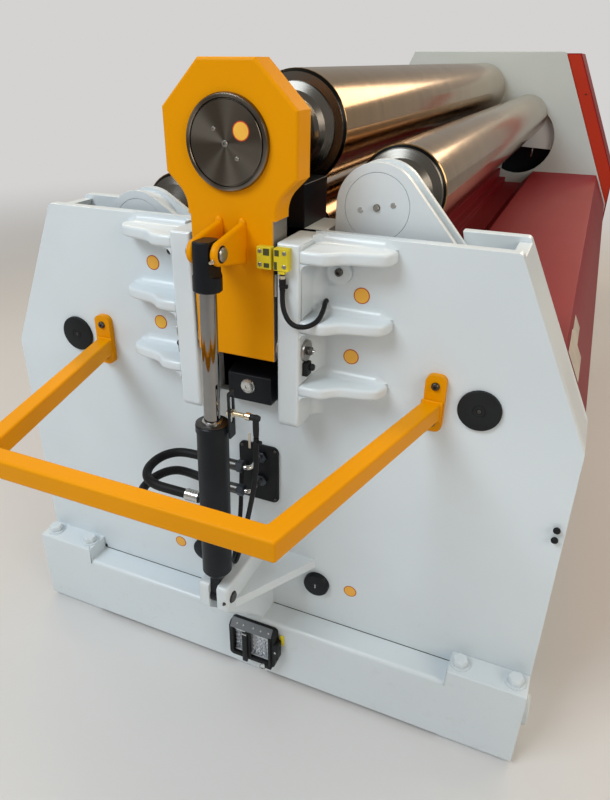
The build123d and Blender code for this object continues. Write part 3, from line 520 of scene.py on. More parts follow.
def placed(obj, where, facing=UP):
    """Turns a piece made along +Z to face a direction, moves it, and applies both."""
    obj.rotation_mode = "QUATERNION"
    obj.rotation_quaternion = Vector(facing).to_track_quat("Z", "Y")
    obj.location = where
    return applied(obj)


def painted(obj, material):
    obj.data.materials.clear()
    obj.data.materials.append(material)
    return obj


def turned(rings, sides=40, where=(0, 0, 0), facing=UP, material=None, spin=0.0):
    """Round part grown from a circle. rings is a list of (radius, height) in millimetres."""
    deselect()
    radius, height = rings[0]
    bpy.ops.mesh.primitive_circle_add(vertices=sides, radius=radius * MM, fill_type="NGON",
                                      location=(0, 0, height * MM), rotation=(0, 0, spin))
    obj = applied(bpy.context.object)
    edit_all(obj)
    for next_radius, next_height in rings[1:]:
        rise = (next_height - height) * MM
        bpy.ops.mesh.extrude_region_move(TRANSFORM_OT_translate={"value": (0, 0, rise)})
        k = next_radius / radius
        bpy.ops.transform.resize(value=(k, k, 1), center_override=(0, 0, next_height * MM))
        radius, height = next_radius, next_height
    bpy.ops.object.mode_set(mode="OBJECT")
    placed(outward(obj), where, facing)
    return painted(obj, material) if material else obj


def modified(obj, kind, **settings):
    """Adds a modifier, sets it up and applies it."""
    pick(obj)
    made = obj.modifiers.new(kind.lower(), kind)
    for key, value in settings.items():
        setattr(made, key, value)
    bpy.ops.object.modifier_apply(modifier=made.name)
    return obj


def bevelled(obj, width, segments=2, angle=35):
    return modified(obj, "BEVEL", width=width * MM, segments=segments, limit_method="ANGLE",
                    angle_limit=math.radians(angle), use_clamp_overlap=False, miter_outer="MITER_ARC")


def cube(size, where=(0, 0, 0)):
    """Box of a size about a place in the scene, in metres."""
    deselect()
    bpy.ops.mesh.primitive_cube_add(size=1, location=where)
    obj = bpy.context.object
    obj.dimensions = size
    return applied(obj)


def bar(corner, other, material, width=0.0, segments=2):
    """Straight bar between two corners on the drawing, with broken edges."""
    a, b = at(*corner), at(*other)
    obj = cube([abs(v) for v in b - a], (a + b) / 2)
    if width:
        bevelled(obj, width, segments)
    return painted(obj, material)


def cut(obj, tool):
    """Takes the shape of a tool out of a piece, and removes the tool."""
    modified(obj, "BOOLEAN", operation="DIFFERENCE", object=tool, solver="EXACT")
    bpy.data.objects.remove(tool)
    return obj


def twin(obj, shift=(0, 0, 0)):
    """Copy of a piece, with a mesh of its own, moved by millimetres."""
    other = obj.copy()
    other.data = obj.data.copy()
    other.data.transform(Matrix.Translation(Vector(shift) * MM))
    bpy.context.collection.objects.link(other)
    return other


def joined(parts):
    deselect()
    for part in parts:
        part.select_set(True)
    bpy.context.view_layer.objects.active = parts[0]
    if len(parts) > 1:
        bpy.ops.object.join()
    return parts[0]


def done(name, piece, body="root", smooth=32):
    """Finishes a piece, or a list of parts: its name, smooth faces and body."""
    obj = joined(piece) if isinstance(piece, list) else piece
    obj.name = name
    pick(obj)
    bpy.ops.object.shade_smooth_by_angle(angle=math.radians(smooth))
    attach(obj, body)
    return obj


# %% [markdown]
# A node of the frame keeps its shape. To break its edges, its own mesh is copied, the small
# triangles of each flat face are merged into one, and a bevel goes round. Weighted normals then
# keep the broad faces flat in the shading and leave the whole turn to the bevel.


# %% Broken edges on a node
def rounded(node, material, width, segments=2, tools=()):
    """Stands for a node: its own shape, with merged faces and broken edges. tools cut into it first."""
    obj = twin(frame["nodes"][node])
    obj.parent = None
    obj.matrix_world.identity()
    for key in [k for k in obj.keys() if k.startswith("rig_")]:
        del obj[key]
    edit_all(obj)
    bpy.ops.mesh.remove_doubles(threshold=0.00001)
    bpy.ops.mesh.dissolve_limited(angle_limit=math.radians(0.4))
    bpy.ops.object.mode_set(mode="OBJECT")
    for tool in tools:
        cut(obj, tool)
    painted(bevelled(obj, width, segments), material)
    body = next(b for b, names in frame["record"]["behaviour"]["bodies"].items() if node in names)
    done(node + "_finished", obj, body)
    modified(obj, "WEIGHTED_NORMAL", keep_sharp=True)
    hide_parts(node)
    return obj


# %% [markdown]
# ## Castings and plates
# Flame-cut plates and castings have no knife edges: the grinder and the paint round them. Each
# node below keeps its shape and gets edges broken by the radius of its kind. A plate has about a
# millimetre, and a folded sheet the radius of its bend.

# %% Round the edges
edge_radii = (
    (white_paint, 1.6, ("front_plate", "front_inner_plate")),
    (white_paint, 1.2, ("front_webs", "right_arms", "left_arms")),
    (white_paint, 3.0, ("front_base_beam", "rear_base_beam", "base_side_beams")),
    (white_paint, 1.0, ("drive_guides",)),
    (white_paint, 0.6, ("right_arm_cover", "left_arm_cover")),
    # painted shade: the white drive plate gets the darker copy of its enamel
    (shaded_white_paint, 2.2, ("drive_plate",)),
    # painted shade: the drive's outer plate is white, but black here, as only shade shows of it through
    # the far opening
    (black_paint, 1.6, ("drive_outer_plate",)),
    (black_paint, 1.5, ("bottom_front_block", "bottom_rear_block")),
    (black_paint, 1.2, ("slot_block",)),
    (black_paint, 0.5, ("sensor_bracket",)),
    (black_plastic, 0.8, ("hose_cover_plate",)),
    (red_paint, 2.0, ("drive_cover_back",)),
    (red_paint, 1.6, ("drive_cover_shroud",)),
    (red_paint, 1.4, ("side_cover_left", "side_cover_right")),
    (switch_yellow, 1.0, ("switch_wall_half", "switch_yoke_half")),
)
for material, width, nodes in edge_radii:
    for node in nodes:
        made = rounded(node, material, width, 3 if width > 1.8 else 2)
        print(node, "edge", width, "mm", len(made.data.polygons), "faces")

# %% [markdown]
# The other rigid nodes keep their own mesh, with its cast and turned roundings, and only get a
# finish. A roll's finish knows where its working length starts, and its radius there.

# %% Finish the plain nodes
plain_finishes = [
    (white_paint, ("cylinder_lug", "arm_axles_front")),
    (yellow_paint, ("guard_rail",)),
    (yoke_paint, ("yoke",)),
    (black_paint, ("rod_end", "cylinder_barrel")),
    (bare_steel, ("yoke_pivot_pin",)),
    (pipe_steel.material, ("hose_elbows",)),
    (dark_steel, ("arm_axles_rear", "lug_pin", "yoke_bearing", "rod_pin_stubs")),
    (neck_steel, ("top_roll_neck",)),
]
for node, front, radius in (("top_roll", 176.5, 89.8), ("bottom_roll", 179, 80),
                            ("right_roll", 186, 74), ("left_roll", 186, 74)):
    plain_finishes.append((roll_steel(node, front, radius), (node,)))
for material, nodes in plain_finishes:
    for node in nodes:
        pick(painted(frame["nodes"][node], material))
        bpy.ops.object.shade_smooth_by_angle(angle=math.radians(28))

# %% [markdown]
# ## Cast ribs of the guides
# Each guide has three cast ribs. The frame has them plainer than the casting is: at the wall a rib
# swells out until it is flush with the wall's front, and every inside corner has a wide cast
# round. So the ribs are cut off the wall here and modelled again from their plan.


# %% Ribs and cast rounds
def prism(outline, low, high):
    """Straight piece along Z with a given outline, in millimetres, from a circle's vertices."""
    deselect()
    bpy.ops.mesh.primitive_circle_add(vertices=len(outline), radius=1, fill_type="NGON")
    obj = bpy.context.object
    for corner, (a, b) in zip(obj.data.vertices, outline):
        corner.co = (a * MM, b * MM, low * MM)
    edit_all(obj)
    bpy.ops.mesh.extrude_region_move(TRANSFORM_OT_translate={"value": (0, 0, (high - low) * MM)})
    bpy.ops.object.mode_set(mode="OBJECT")
    return outward(obj)


def laid(obj, rule):
    """Puts each vertex of a piece where a rule says, from its own x, y and z."""
    for v in obj.data.vertices:
        v.co = rule(*v.co)
    return obj


def cove(radius, steps=7):
    """Outline of an inside round: its corner, and a hollow quarter of a circle."""
    arc = [(radius * (1 - math.sin(a)), radius * (1 - math.cos(a)))
           for a in (math.pi / 2 * i / steps for i in range(steps + 1))]
    return [(-1, -1), *arc]


guide_side = 115
rib_root, rib_neck, rib_tip = 112, 226, 246.5
rib_plan = [(112, 1), (112, -70), (134, -70.3), (148, -69.5), (156, -66.5), (163, -60.5), (170, -54),
            (178, -49.5), (189, -46), (203, -43.8), (218, -40.8), (231, -36.5), (239, -31),
            (244.5, -22), (247.5, -10), (248.5, 1)]
casts = []
for top, thick in (969, 20.5), (857.5, 20), (744.5, 19):
    rib = prism(rib_plan, top - thick, top)
    rib.data.transform(Matrix.Translation((0, face_y, 0)))
    casts.append(bevelled(rib, 5.5, 4, 50))
    for height, turn, radius in (top, 1, 16), (top - thick, -1, 7):
        for start, stop in (rib_root, rib_neck), (rib_neck, rib_tip):
            back = prism(cove(radius), start, stop)
            for v in back.data.vertices:
                a, b, x = v.co
                small = 0.1 if x > (rib_tip - 0.1) * MM else 1
                v.co = (x, face_y - a * small, height * MM + turn * b * small)
            casts.append(back)
    under = prism(cove(13), -69.4, 0)
    below = (top - thick) * MM
    casts.append(laid(under, lambda a, b, y: (guide_side * MM + a, face_y + y, below - b)))
for low, high in (664, 725.5), (744.5, 837.5), (857.5, 948.5), (969, 981.5):
    post = prism(cove(20), low, high)
    casts.append(laid(post, lambda a, b, z: (guide_side * MM + a, face_y - b, z)))
right_ribs = outward(painted(joined(casts), white_paint))
left_ribs = twin(right_ribs)
left_ribs.data.transform(Matrix.Diagonal((-1, 1, 1, 1)))
outward(left_ribs)
done("right_cast_ribs", right_ribs, smooth=50)
done("left_cast_ribs", left_ribs, smooth=50)
for side, s, _ in SIDES:
    cutter = bar((s * guide_side, -90, 700), (s * 260, 0, 975), white_paint)
    rounded("guide_wall_" + side, white_paint, 1.5, tools=[cutter])
print("ribs:", len(right_ribs.data.polygons), "faces a side")

# %% [markdown]
# ## Screws
# A socket screw is a turned head with a six-sided recess cut into it. A hex bolt is a six-sided
# prism with a turned collar under it. Most of them face the front and are dark.


# %% Screw patterns
def recessed(rings, key, floor, where, material, facing):
    """Round head with a hexagon recess. key is the recess's radius, floor the height of its bottom."""
    head = turned(rings, 32)
    tool = turned([(key, floor), (key, rings[-1][1] + 1)], 6)
    return placed(painted(cut(head, tool), material), where, facing)


def socket_screw(radius, height, where, material=dark_steel, key=0.5, facing=FRONT):
    """Straight head. key is the recess's share of the radius."""
    edge = min(radius * 0.16, height * 0.3)
    rings = [(radius, 0), (radius, height - edge), (radius - edge, height)]
    return recessed(rings, radius * key, height * 0.35, where, material, facing)


def button_screw(radius, height, where, material=dark_steel, facing=FRONT):
    """Low domed head."""
    rings = [(radius, 0), (radius, height * 0.35), (radius * 0.93, height * 0.68),
             (radius * 0.72, height)]
    return recessed(rings, radius * 0.38, height * 0.3, where, material, facing)


def hex_bolt(across, height, where, material, facing=FRONT, spin=0.3, washer=True):
    """Six-sided head over a washer. across is the width across its corners."""
    lift = across * 0.09 if washer else 0.0
    parts = [turned([(across * 0.62, 0), (across * 0.62, lift)], 40)] if washer else []
    r = across / 2
    head = turned([(r, lift), (r, lift + height * 0.85), (r * 0.86, lift + height)], 6, spin=spin)
    parts.append(bevelled(head, across * 0.03, 2, 50))
    return placed(painted(joined(parts), material), where, facing)


# %% [markdown]
# ## Bolts, caps and stickers on the front
# Two painted bolts hold each corner block down. Black round covers close the bores of the side
# cylinders, and smaller ones the pin bores below. Round stickers mark where hands can be caught;
# here they are blank amber discs in a red rim.

# %% Bolts on the base
anchor_x = [s * x for s in (-1, 1) for x in (442, 545)]
for end, y in (("front", -28), ("rear", 2540)):
    bolts = [hex_bolt(31, 13, at(x, y, 196), white_paint, UP, 0.2 * i) for i, x in enumerate(anchor_x)]
    done(end + "_anchor_bolts", bolts, smooth=40)

# %% Round covers on the front plate
cap_rings = [(35, 0), (35, 4.6), (34.2, 5.7), (32.8, 6.2), (11, 6.2), (10.4, 5.4), (9.4, 5.4),
             (8.8, 6.3), (5, 6.5), (4.4, 5.6)]
pin_cap_rings = [(27, 0), (27, 8.6), (25.4, 11.2), (23.6, 12), (6, 12), (5.4, 11.6)]
for side, s, _ in SIDES:
    x = s * 400
    cap = turned(cap_rings, 72, at(x, 0, 729), FRONT, black_plastic)
    done(side + "_bore_cap", [cap, button_screw(3.4, 1.2, at(x, -5.6, 729))])
    x = s * 133
    cap = turned(pin_cap_rings, 64, at(x, 0, 261), FRONT, black_paint)
    groove = bar((x - 0.9, -12.6, 256), (x + 0.9, -10.5, 266), zinc)
    done(side + "_pin_bore_cap", [cap, groove])
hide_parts("side_caps")
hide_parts("pin_caps")


# %% Blank stickers
def sticker(name, x, y, z, body="root"):
    rim = turned([(13.5, 0), (13.5, 0.35)], 48, at(x, y, z), FRONT, sticker_red)
    face = turned([(11.9, 0.3), (11.9, 0.5)], 48, at(x, y, z), FRONT, sticker_amber)
    return done(name, [rim, face], body)


sticker_places = [(-202, 897), (-197, 784.5), (193, 890), (180.5, 782), (-199, 257), (205, 265)]
for i, (x, z) in enumerate(sticker_places):
    sticker(f"blank_sticker_{i}", x, 0, z)

# %% [markdown]
# ### Small fittings of the front plate
# The arm axles end in a bolted boss, the guard rail is welded to two bolted brackets, and a thin
# black strip paints the shadow line where the base beam meets the plate.

# %% Fittings on the front plate
for side, s, _ in SIDES:
    done(side + "_axle_screw", socket_screw(6.5, 5, at(s * 156, -8, 926), key=0.55))
    bolts = [button_screw(7, 4.6, at(s * 328, -12, z)) for z in (762, 696)]
    done(side + "_rail_bolts", bolts)
    bead = bar((s * 308, -15.5, 699), (s * 344, -11.5, 737), yellow_paint, 2.6, 3)
    done(side + "_rail_weld", bead, smooth=60)
    # A thin black strip painted as the shadow line under the plate.
    done(side + "_seam", bar((s * 33, -0.7, 164), (s * 428, 0.2, 165), painted_shadow_black))

knob = [(2.6, 0), (2.6, 3.5), (5.2, 4), (6.0, 6), (5.8, 8.5), (4.4, 10.4), (2.2, 11.2)]
for i, z in enumerate((541, 521)):
    done(f"edge_knob_{i}", turned(knob, 32, at(552, 0, z), FRONT, black_plastic))
done("left_small_screw", button_screw(3.5, 2.5, at(-420, 0, 170)))

# %% [markdown]
# ## The yoke
# A turned cap closes the yoke's bearing. The lathe leaves fine rings on it, and these rings are
# what makes a turned disc shine in two fans. So they are modelled: the face goes down and up by a
# few hundredths of a millimetre, all the way to the centre.

# %% Yoke cap
lathe = [(67.5, 0), (67.5, 3.2), (66.9, 5.4), (65.6, 7.2), (63.4, 8.0), (61.0, 7.6), (59.8, 6.4),
         (59.2, 4.4), (58.4, 4.4), (58.0, 6.6), (57.4, 7.2)]
ring_step, ring_depth = 0.8, 0.07
radius, high = 56.6, False
while radius > 6:
    lathe.append((radius, 7.2 + (0.0 if high else -ring_depth)))
    radius -= ring_step
    high = not high
parts = [turned(lathe, 96, at(0, -71, top_axis_z), FRONT, cap_steel),
         socket_screw(4.6, 3.4, at(0, -78.0, top_axis_z), bare_steel, 0.55)]
parts += [button_screw(3.4, 1.6, at(x, -78.1, z), bare_steel) for x, z in ((-18.5, 1133), (18, 1094))]
done("yoke_cap_finished", parts, "drop_end")
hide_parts("yoke_cap")
sticker("blank_sticker_cap", 25.7, -78.1, 1131.5, "drop_end")
print("yoke cap:", len(lathe), "rings")

# %% Pins of the cylinder
for side, s, facing in SIDES:
    for name, body, pin, gap_x, gap_r, head_x, head, metal in (
            ("_rod_pin_end", "drop_end", rod_pin, 26, 12.8, 27.2,
             [(10.8, 0), (10.8, 1.4), (9.6, 2.8), (6, 3.4)], bare_steel),
            ("_lug_pin_end", "root", base_pin, 31, 11.8, 32.8,
             [(10.0, 0), (10.0, 0.8), (8.6, 2.0), (3, 2.4)], dark_steel)):
        # A thin black disc under each pin end paints the shadow in the gap round it.
        gap_shadow_disc = turned([(gap_r, 0), (gap_r, 0.5)], 40, at(s * gap_x, pin.y, pin.z), facing, painted_shadow_black)
        tip = turned(head, 40, at(s * head_x, pin.y, pin.z), facing, metal)
        done(side + name, [gap_shadow_disc, tip], body)
for side, s, _ in SIDES:
    deselect()
    bpy.ops.mesh.primitive_uv_sphere_add(segments=24, ring_count=14, radius=0.0062,
                                         location=at(s * 20, -72.5, 1002), scale=(1.0, 0.75, 1.3))
    bead = painted(applied(bpy.context.object), yoke_paint)
    done(side + "_ear_weld", bead, "drop_end", 60)
nipple = [(3.2, 0), (3.2, 2), (2.0, 2.6), (2.0, 5), (2.8, 5.8), (2.4, 7.6), (1.2, 8)]
done("ear_nipple", turned(nipple, 24, at(20, -164, 966), FRONT, nickel), "drop_end")
done("lug_nipple", turned(nipple[:4], 24, at(24, -193.5, 334), FRONT, dark_steel))

# %% [markdown]
# ## The cylinder
# The rod slides out of the barrel through a gland with a steel wiper. These turn about the
# cylinder's own axis, which leans a little. The hoses end in crimped ferrules.

# %% Cylinder
rod_dir = (rod_pin - base_pin).normalized()


def along_rod(length):
    return at(*(base_pin + rod_dir * length))


face = turned([(27.6, 0), (27.6, 0.5), (26, 1.4), (18, 1.4)], 64, along_rod(360), rod_dir, dark_steel)
wiper = turned([(17, 0), (17, 2.6), (15.6, 3.6), (13.9, 3.8)], 48, along_rod(361), rod_dir, zinc)
done("gland_ring", [face, wiper], "barrel")
rod = turned([(13.5, 275), (13.5, 587)], 128, along_rod(0), rod_dir, chrome)
done("rod_ground", rod, "rod")
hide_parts("cylinder_rod")
crimp = [(9.4, 0), (10.6, 1.2)]
for x in (6, 11, 16, 21):
    crimp += [(10.6, x), (10.0, x + 0.8), (10.0, x + 1.6), (10.6, x + 2.4)]
crimp += [(10.6, 27), (9.4, 28)]
for name, y, z in (("upper", -168, 541.5), ("lower", -171, 489)):
    done(name + "_ferrule", turned(crimp, 40, at(-57, y, z), RIGHT, zinc), "barrel")
sleeve = [(8.9, 0), (10.2, 1), (10.2, 20), (9.2, 21.5)]
for name, z in (("upper", 545), ("lower", 491)):
    done(name + "_pipe_ferrule", turned(sleeve, 40, at(-14, -55, z), LEFT, dark_steel))

# %% [markdown]
# ### The end sensor
# A threaded sensor sits in a slotted bracket near the gland and sees the rod go in. Its plug
# hangs the cable down along the barrel, held by a cable tie and marked with a grey tag.

# %% Sensor
sensor_y, sensor_z, thread_turns = -153, 718, 36
thread = [(3.4, 0)]
for i in range(thread_turns):
    thread += [(4.0, 0.5 + i), (3.55, 1.0 + i)]
thread += [(3.4, thread_turns + 1)]
parts = [turned(thread, 24, at(31.2, sensor_y, sensor_z), RIGHT, nickel)]
parts += [turned([(r, 0), (r, w)], sides, at(x, sensor_y, sensor_z), RIGHT, nickel)
          for x, r, w, sides in ((34.5, 7.5, 4, 6), (60, 6.5, 8, 24), (27.2, 7.5, 4, 6))]
done("sensor_threaded", parts, "barrel", 40)
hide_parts("sensor")
arm = [(4.6, 0), (5.4, 1), (5.4, 13), (4.4, 16)]
drop = [(4.6, 0), (5.2, 2), (5.2, 22), (4.8, 36), (4.2, 38)]
plug = [turned(arm, 32, at(68, sensor_y, sensor_z), RIGHT, black_plastic),
        turned(drop, 32, at(77, sensor_y, 722), DOWN, black_plastic)]
done("sensor_plug_finished", plug, "barrel")
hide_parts("sensor_plug")
done("cable_tag", bar((63.4, -155, 660), (67.4, -153.6, 688), label_grey, 0.4), "barrel")
tie = [bar((72, -158, 672), (82, -148, 675), black_plastic, 1.0),
       bar((82, -156, 671), (87, -151, 677), black_plastic, 0.8)]
done("sensor_cable_tie", tie, "barrel")

# %% [markdown]
# ## The safety switch
# One half of the switch sits on the guide and the other on the yoke, so it opens as soon as the
# yoke tilts. Each half has two cross screws and blank dark patches.

# %% Safety switch
switch_front = -84


def cross_screw(x, z):
    head = turned([(3.3, 0), (3.3, 0.5), (2.7, 0.9)], 32)
    for w, h in ((1.0, 4.6), (4.6, 1.0)):
        head = cut(head, cube((w * MM, h * MM, 1.4 * MM), (0, 0, MM)))
    return placed(painted(head, bare_steel), at(x, switch_front, z), FRONT)


def patch(x0, z0, x1, z1):
    return bar((x0, switch_front - 0.3, z0), (x1, switch_front + 0.2, z1), patch_dark)


screw_heights = (966.6, 946.2)
wall = [cross_screw(95.3, z) for z in screw_heights]
wall += [patch(79.4, 961.5, 86.6, 970.6), patch(78.6, 940.6, 83.4, 952.6)]
done("wall_half_front", wall)
yoke_half = [cross_screw(54.8, z) for z in screw_heights]
yoke_half += [patch(60.4, 960.6, 70.6, 971), patch(61.4, 942, 70.4, 949)]
done("yoke_half_front", yoke_half, "drop_end")

# %% [markdown]
# The cable leaves the switch through a nose with a nickel collar and a tapered rubber boot.

# %% Switch cable entry
cable_x, cable_y = 89.5, -77.5
collar = [(4.4, 0), (5.0, 0.6), (5.0, 5.0), (4.4, 5.6)]
boot = [(4.8, 0), (5.4, 0.8), (5.4, 5), (4.9, 10), (4.5, 17), (4.15, 21)]
tie_rings = [(5.4, 0), (5.6, 0.4), (5.6, 2.8), (5.4, 3.2)]
nose = bar((84.2, -82.6, 933.6), (94.8, -72.6, 939.5), switch_yellow, 1.0)
done("switch_nose", nose)
done("switch_collar", turned(collar, 32, at(cable_x, cable_y, 931.5), DOWN, nickel))
done("switch_boot", turned(boot, 32, at(cable_x, cable_y, 926), DOWN, rubber))
tie = [turned(tie_rings, 32, at(cable_x, cable_y, 913), UP, black_plastic),
       bar((94, -80, 911.5), (98.5, -75.5, 917.5), black_plastic, 0.8)]
done("switch_cable_tie", tie)
done("guide_liner_end", bar((72.6, -71.4, 893), (76.4, -45, 929), bare_steel, 0.5))

# %% [markdown]
# ## Pins and plugs of the guides
# The yoke's pivot pin ends in a washer and bolt on each guide, with a black grease block under
# it. A bright plug closes the slot block.

# %% Guides
tip_rings, tap_rings = [(2.6, 0), (2.6, 4), (1.8, 5)], [(6, 0), (6, 6), (4.6, 8), (2, 8.4)]
for side, s, facing in SIDES:
    bolt = hex_bolt(15, 8, at(s * 120.3, pivot_y, pivot_z), dark_steel, facing, washer=False)
    tip = turned(tip_rings, 20, at(s * 128, pivot_y, pivot_z), facing, zinc)
    done(side + "_pivot_fixing", [bolt, tip])
    block = bar((s * 114.6, -56, 757), (s * 125, -38, 781), black_plastic, 2.0, 3)
    tap = turned(tap_rings, 32, at(s * 124, -44, 771), facing, black_plastic)
    done(side + "_grease_fitting", [block, tap])
plug = cut(turned([(14, 0), (14, 1.6), (12.8, 3.2), (9, 4.4)], 48), turned([(4.6, 2.4), (4.6, 6)], 6))
done("plug_head", placed(painted(plug, zinc), at(-3, -25, 701), FRONT))
screws = [button_screw(3.2, 1.8, at(x, -5, z)) for z in (448, 560) for x in (-30, 40)]
done("cover_plate_screws", screws)

# %% [markdown]
# ## Bearing covers of the swinging arms
# The cover of each side roll's bearing is flush with its arm, and shows as a fine circle. It has
# a nut in its middle and two sunk screws. Its centre is read from the frame, and the line of the
# screws turns with the arm.

# %% Arm covers
screw_circle = 26.8
for side, tilt_deg in (("right", 11.8), ("left", 225.0)):
    centre = middle(side + "_arm_cover")
    front = (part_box(side + "_arm_cover")[0].y - face_y) / MM
    line = math.radians(tilt_deg)
    dx, dz = screw_circle * math.cos(line), screw_circle * math.sin(line)
    parts = [hex_bolt(9.5, 4, at(centre.x, front, centre.z), bare_steel)]
    parts += [socket_screw(4.4, 1.2, at(centre.x + k * dx, front + 0.3, centre.z + k * dz), zinc, 0.62)
              for k in (-1, 1)]
    done(side + "_arm_cover_screws", parts, side + "_swing")

# %% [markdown]
# ## The power socket
# A metal-lidded power socket hangs on the base beam. Behind its locking lever sit two contact
# inserts with rows of pins. A latch stands on its right, and a small hook hangs under it.

# %% Power socket
lever_cutter = bar((-60, -95, 40), (90, -78.02, 170), black_plastic)
wedge = prism([(-80, 138), (-64, 156.5), (-90, 156.5)], -60, 90)
laid(wedge, lambda y, z, x: (x, face_y + y, z))
rounded("power_socket", black_plastic, 1.0, tools=[lever_cutter, wedge])
pin = turned([(3.1, 0), (3.1, 4.6), (2.4, 5), (2.0, 2)], 16, at(-24, -66, 76), FRONT, socket_metal)
core = [bar((-29, -66, 66), (60, -60, 142), socket_metal, 1.2)]
core += [twin(pin, (dx, 0, dz))
         for dx in (0, 9, 38, 47.5, 57, 66.5, 76) for dz in (0, 11.5, 23, 34.5, 46)]
bpy.data.objects.remove(pin)
core += [bar((start, -73, low), (stop, -66, low + 3.5), socket_metal, 0.6)
         for low in (67.5, 128) for start, stop in ((-28, -7), (10, 58))]
done("socket_contacts", core)
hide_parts("socket_insert")

# %% [markdown]
# The lid is a grey plate that leans back over the top of the frame. It has five small screws.

# %% Lid and lever
plate = turned([(50, 0), (50, 1.4)], 4, spin=math.radians(45))
plate.dimensions = (96 * MM, 22 * MM, 1.6 * MM)
lid = [plate]
lid += [button_screw(2.2, 1.1, Vector((x * MM, 0, 0.0014)), zinc, UP) for x in (-34, -19, 4, 22, 40)]
pick(plate)
bpy.ops.object.transform_apply(location=False, rotation=False, scale=True)
painted(plate, lid_metal)
lid = joined(lid)
lean = Matrix.Rotation(math.atan2(18.5, 16), 4, "X")
lid.data.transform(Matrix.Translation(at(13, -71.5, 147)) @ lean)
done("socket_lid", lid)
latch = [bar((66, -80, 84), (78, -60, 128), black_plastic, 1.6),
         bar((56, -82, 60), (62, -77.5, 142), black_plastic, 1.2),
         button_screw(2.6, 1.2, at(72, -80, 106), zinc)]
lever = [bar((-6, -83, 50), (6, -77.5, 134), black_plastic, 1.4),
         bar((-6, -84, 131), (6, -77, 134), zinc, 0.4)]
done("socket_latch", latch + lever)
done("socket_tag", bar((74, -60, 112), (83, -57, 138), switch_yellow, 0.4))
deselect()
bpy.ops.mesh.primitive_torus_add(major_radius=0.0075, minor_radius=0.0016, major_segments=32,
                                 minor_segments=10, location=at(42, -78, 49),
                                 rotation=(math.radians(90), 0, 0.4))
hook = painted(applied(bpy.context.object), zinc)
done("socket_hook", [hook, bar((46, -80, 48), (62, -70, 60), black_plastic, 1.4)])

# %% [markdown]
# ## The far end
# Small things show along the machine: two blank plates on the slope of the right cover, a bolted
# block and a bright clip at the far opening, and the front flange of the drive's red shroud, with
# one screw.

# %% Far end
for name, x, y, z, along, wide in (("blank_plate_large", 525.3, 212, 763.3, 117, 58),
                                   ("blank_plate_small", 520.6, 318, 773, 94, 28)):
    foil = bevelled(cube((wide * MM, along * MM, 0.8 * MM)), 0.25, 1)
    foil.rotation_euler = (0, math.atan2(113, 54), 0)
    foil.location = at(x, y, z)
    done(name, painted(applied(foil), label_grey))
flange_line = [(290, 1243.5), (359.5, 1243.5), (569, 793), (569, 600), (550, 600), (550, 690)]
flange_back = face_y + 2.1752
flange = laid(prism(flange_line, 0, 3), lambda x, z, depth: (x, flange_back - depth, z))
# The flange's lighter red is painted warm light.
painted(outward(flange), lit_red_paint)
done("shroud_front_flange", [flange, button_screw(3.4, 1.6, at(405, 2172, 1100))])
block = bar((96, 2140, 836), (116, 2153, 862), white_paint, 2)
done("far_stop", [block, hex_bolt(11, 5, at(106, 2140, 849), zinc)])
clip = [bar((226, 2250, 846), (233, 2254, 886), zinc, 0.6),
        bar((226, 2246, 882), (243, 2254, 886), zinc, 0.6)]
done("opening_clip", clip)

# %% [markdown]
# ## Stage
# A pale floor and a soft, even sky. Far from the machine the floor fades into the same pale tone
# as the background, but only where it is looked at, so it gives no light of its own and keeps
# the shadow under the machine. Reflections see the room's own soft, slightly warm light.

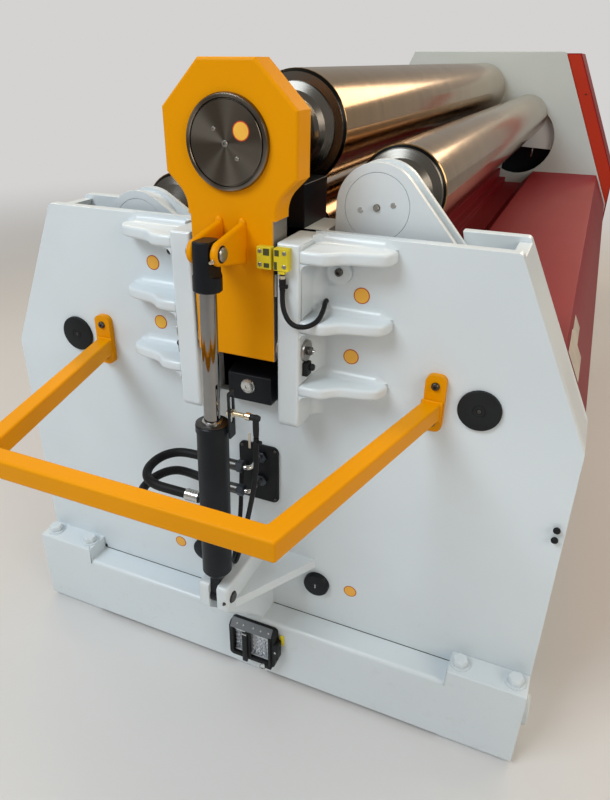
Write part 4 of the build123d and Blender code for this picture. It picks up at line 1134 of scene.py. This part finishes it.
# %% Floor and light
PALE = (0.66, 0.65, 0.64)
deselect()
bpy.ops.mesh.primitive_plane_add(size=60, location=(0, 0, -0.0015))
floor = bpy.context.object
floor.name = "floor"
floor_finish = Finish("pale_floor", roughness=0.6)
floor_cloud = floor_finish.noise(0.8, 3.0)
floor_finish.give("Base Color", floor_finish.mix(floor_cloud, (0.68, 0.675, 0.67), (0.63, 0.625, 0.62)))
x, y, _ = floor_finish.axes()
reach = x.hypot(y)
looked_at = floor_finish.node("ShaderNodeLightPath", {}, {}, "Is Camera Ray")
glow = floor_finish.node("ShaderNodeEmission", {}, {"Color": (*PALE, 1), "Strength": 1.0})
skin = Term(floor_finish, floor_finish.shader.outputs[0])
fading = reach.between(2.2, 6.5) * looked_at
faded = floor_finish.node("ShaderNodeMixShader", {}, {0: fading, 1: skin, 2: glow})
floor_finish.tree.links.new(faded.socket, floor_finish.tree.nodes["Material Output"].inputs["Surface"])
painted(floor, floor_finish.material)

world = bpy.data.worlds.new("studio")
bpy.context.scene.world = world
world.use_nodes = True
sky = world.node_tree
sky.nodes.clear()
sky_out = sky.nodes.new("ShaderNodeOutputWorld")
sky_choice = sky.nodes.new("ShaderNodeMixShader")
sky_rays = sky.nodes.new("ShaderNodeLightPath")
sky.links.new(sky_rays.outputs["Is Camera Ray"], sky_choice.inputs[0])
for socket, colour, strength in ((1, (1.0, 0.95, 0.88), 0.36), (2, PALE, 1.0)):
    tone = sky.nodes.new("ShaderNodeBackground")
    tone.inputs["Color"].default_value = (*colour, 1)
    tone.inputs["Strength"].default_value = strength
    sky.links.new(tone.outputs[0], sky_choice.inputs[socket])
sky.links.new(sky_choice.outputs[0], sky_out.inputs["Surface"])


def lamp(name, place, target, size, power, colour=(1, 1, 1)):
    data = bpy.data.lights.new(name, "AREA")
    data.shape = "RECTANGLE"
    data.size, data.size_y = size
    data.energy = power
    data.color = colour
    obj = linked(name, data)
    obj.location = place
    obj.rotation_mode = "QUATERNION"
    obj.rotation_quaternion = (Vector(target) - Vector(place)).to_track_quat("-Z", "Y")
    return obj


lamp("key", (-1.6, -3.6, 4.0), (0, -1.0, 0.7), (2.2, 1.8), 125, (0.84, 0.93, 1.0))
lamp("fill", (3.6, -2.6, 2.6), (0, -0.6, 0.6), (2.0, 2.0), 50, (1.0, 0.90, 0.78))
lamp("strip_left", (-0.9, 0.1, 3.0), (0, 0.1, 1.0), (0.12, 3.6), 22, (1.0, 0.80, 0.55))
lamp("strip_right", (0.5, 0.1, 3.2), (0.1, 0.1, 1.0), (0.10, 3.6), 20, (1.0, 0.82, 0.58))
lamp("behind", (1.6, 4.4, 3.0), (0, 1.0, 0.8), (2.4, 1.6), 50, (1.0, 0.82, 0.62))

# %% The end
bpy.context.view_layer.update()
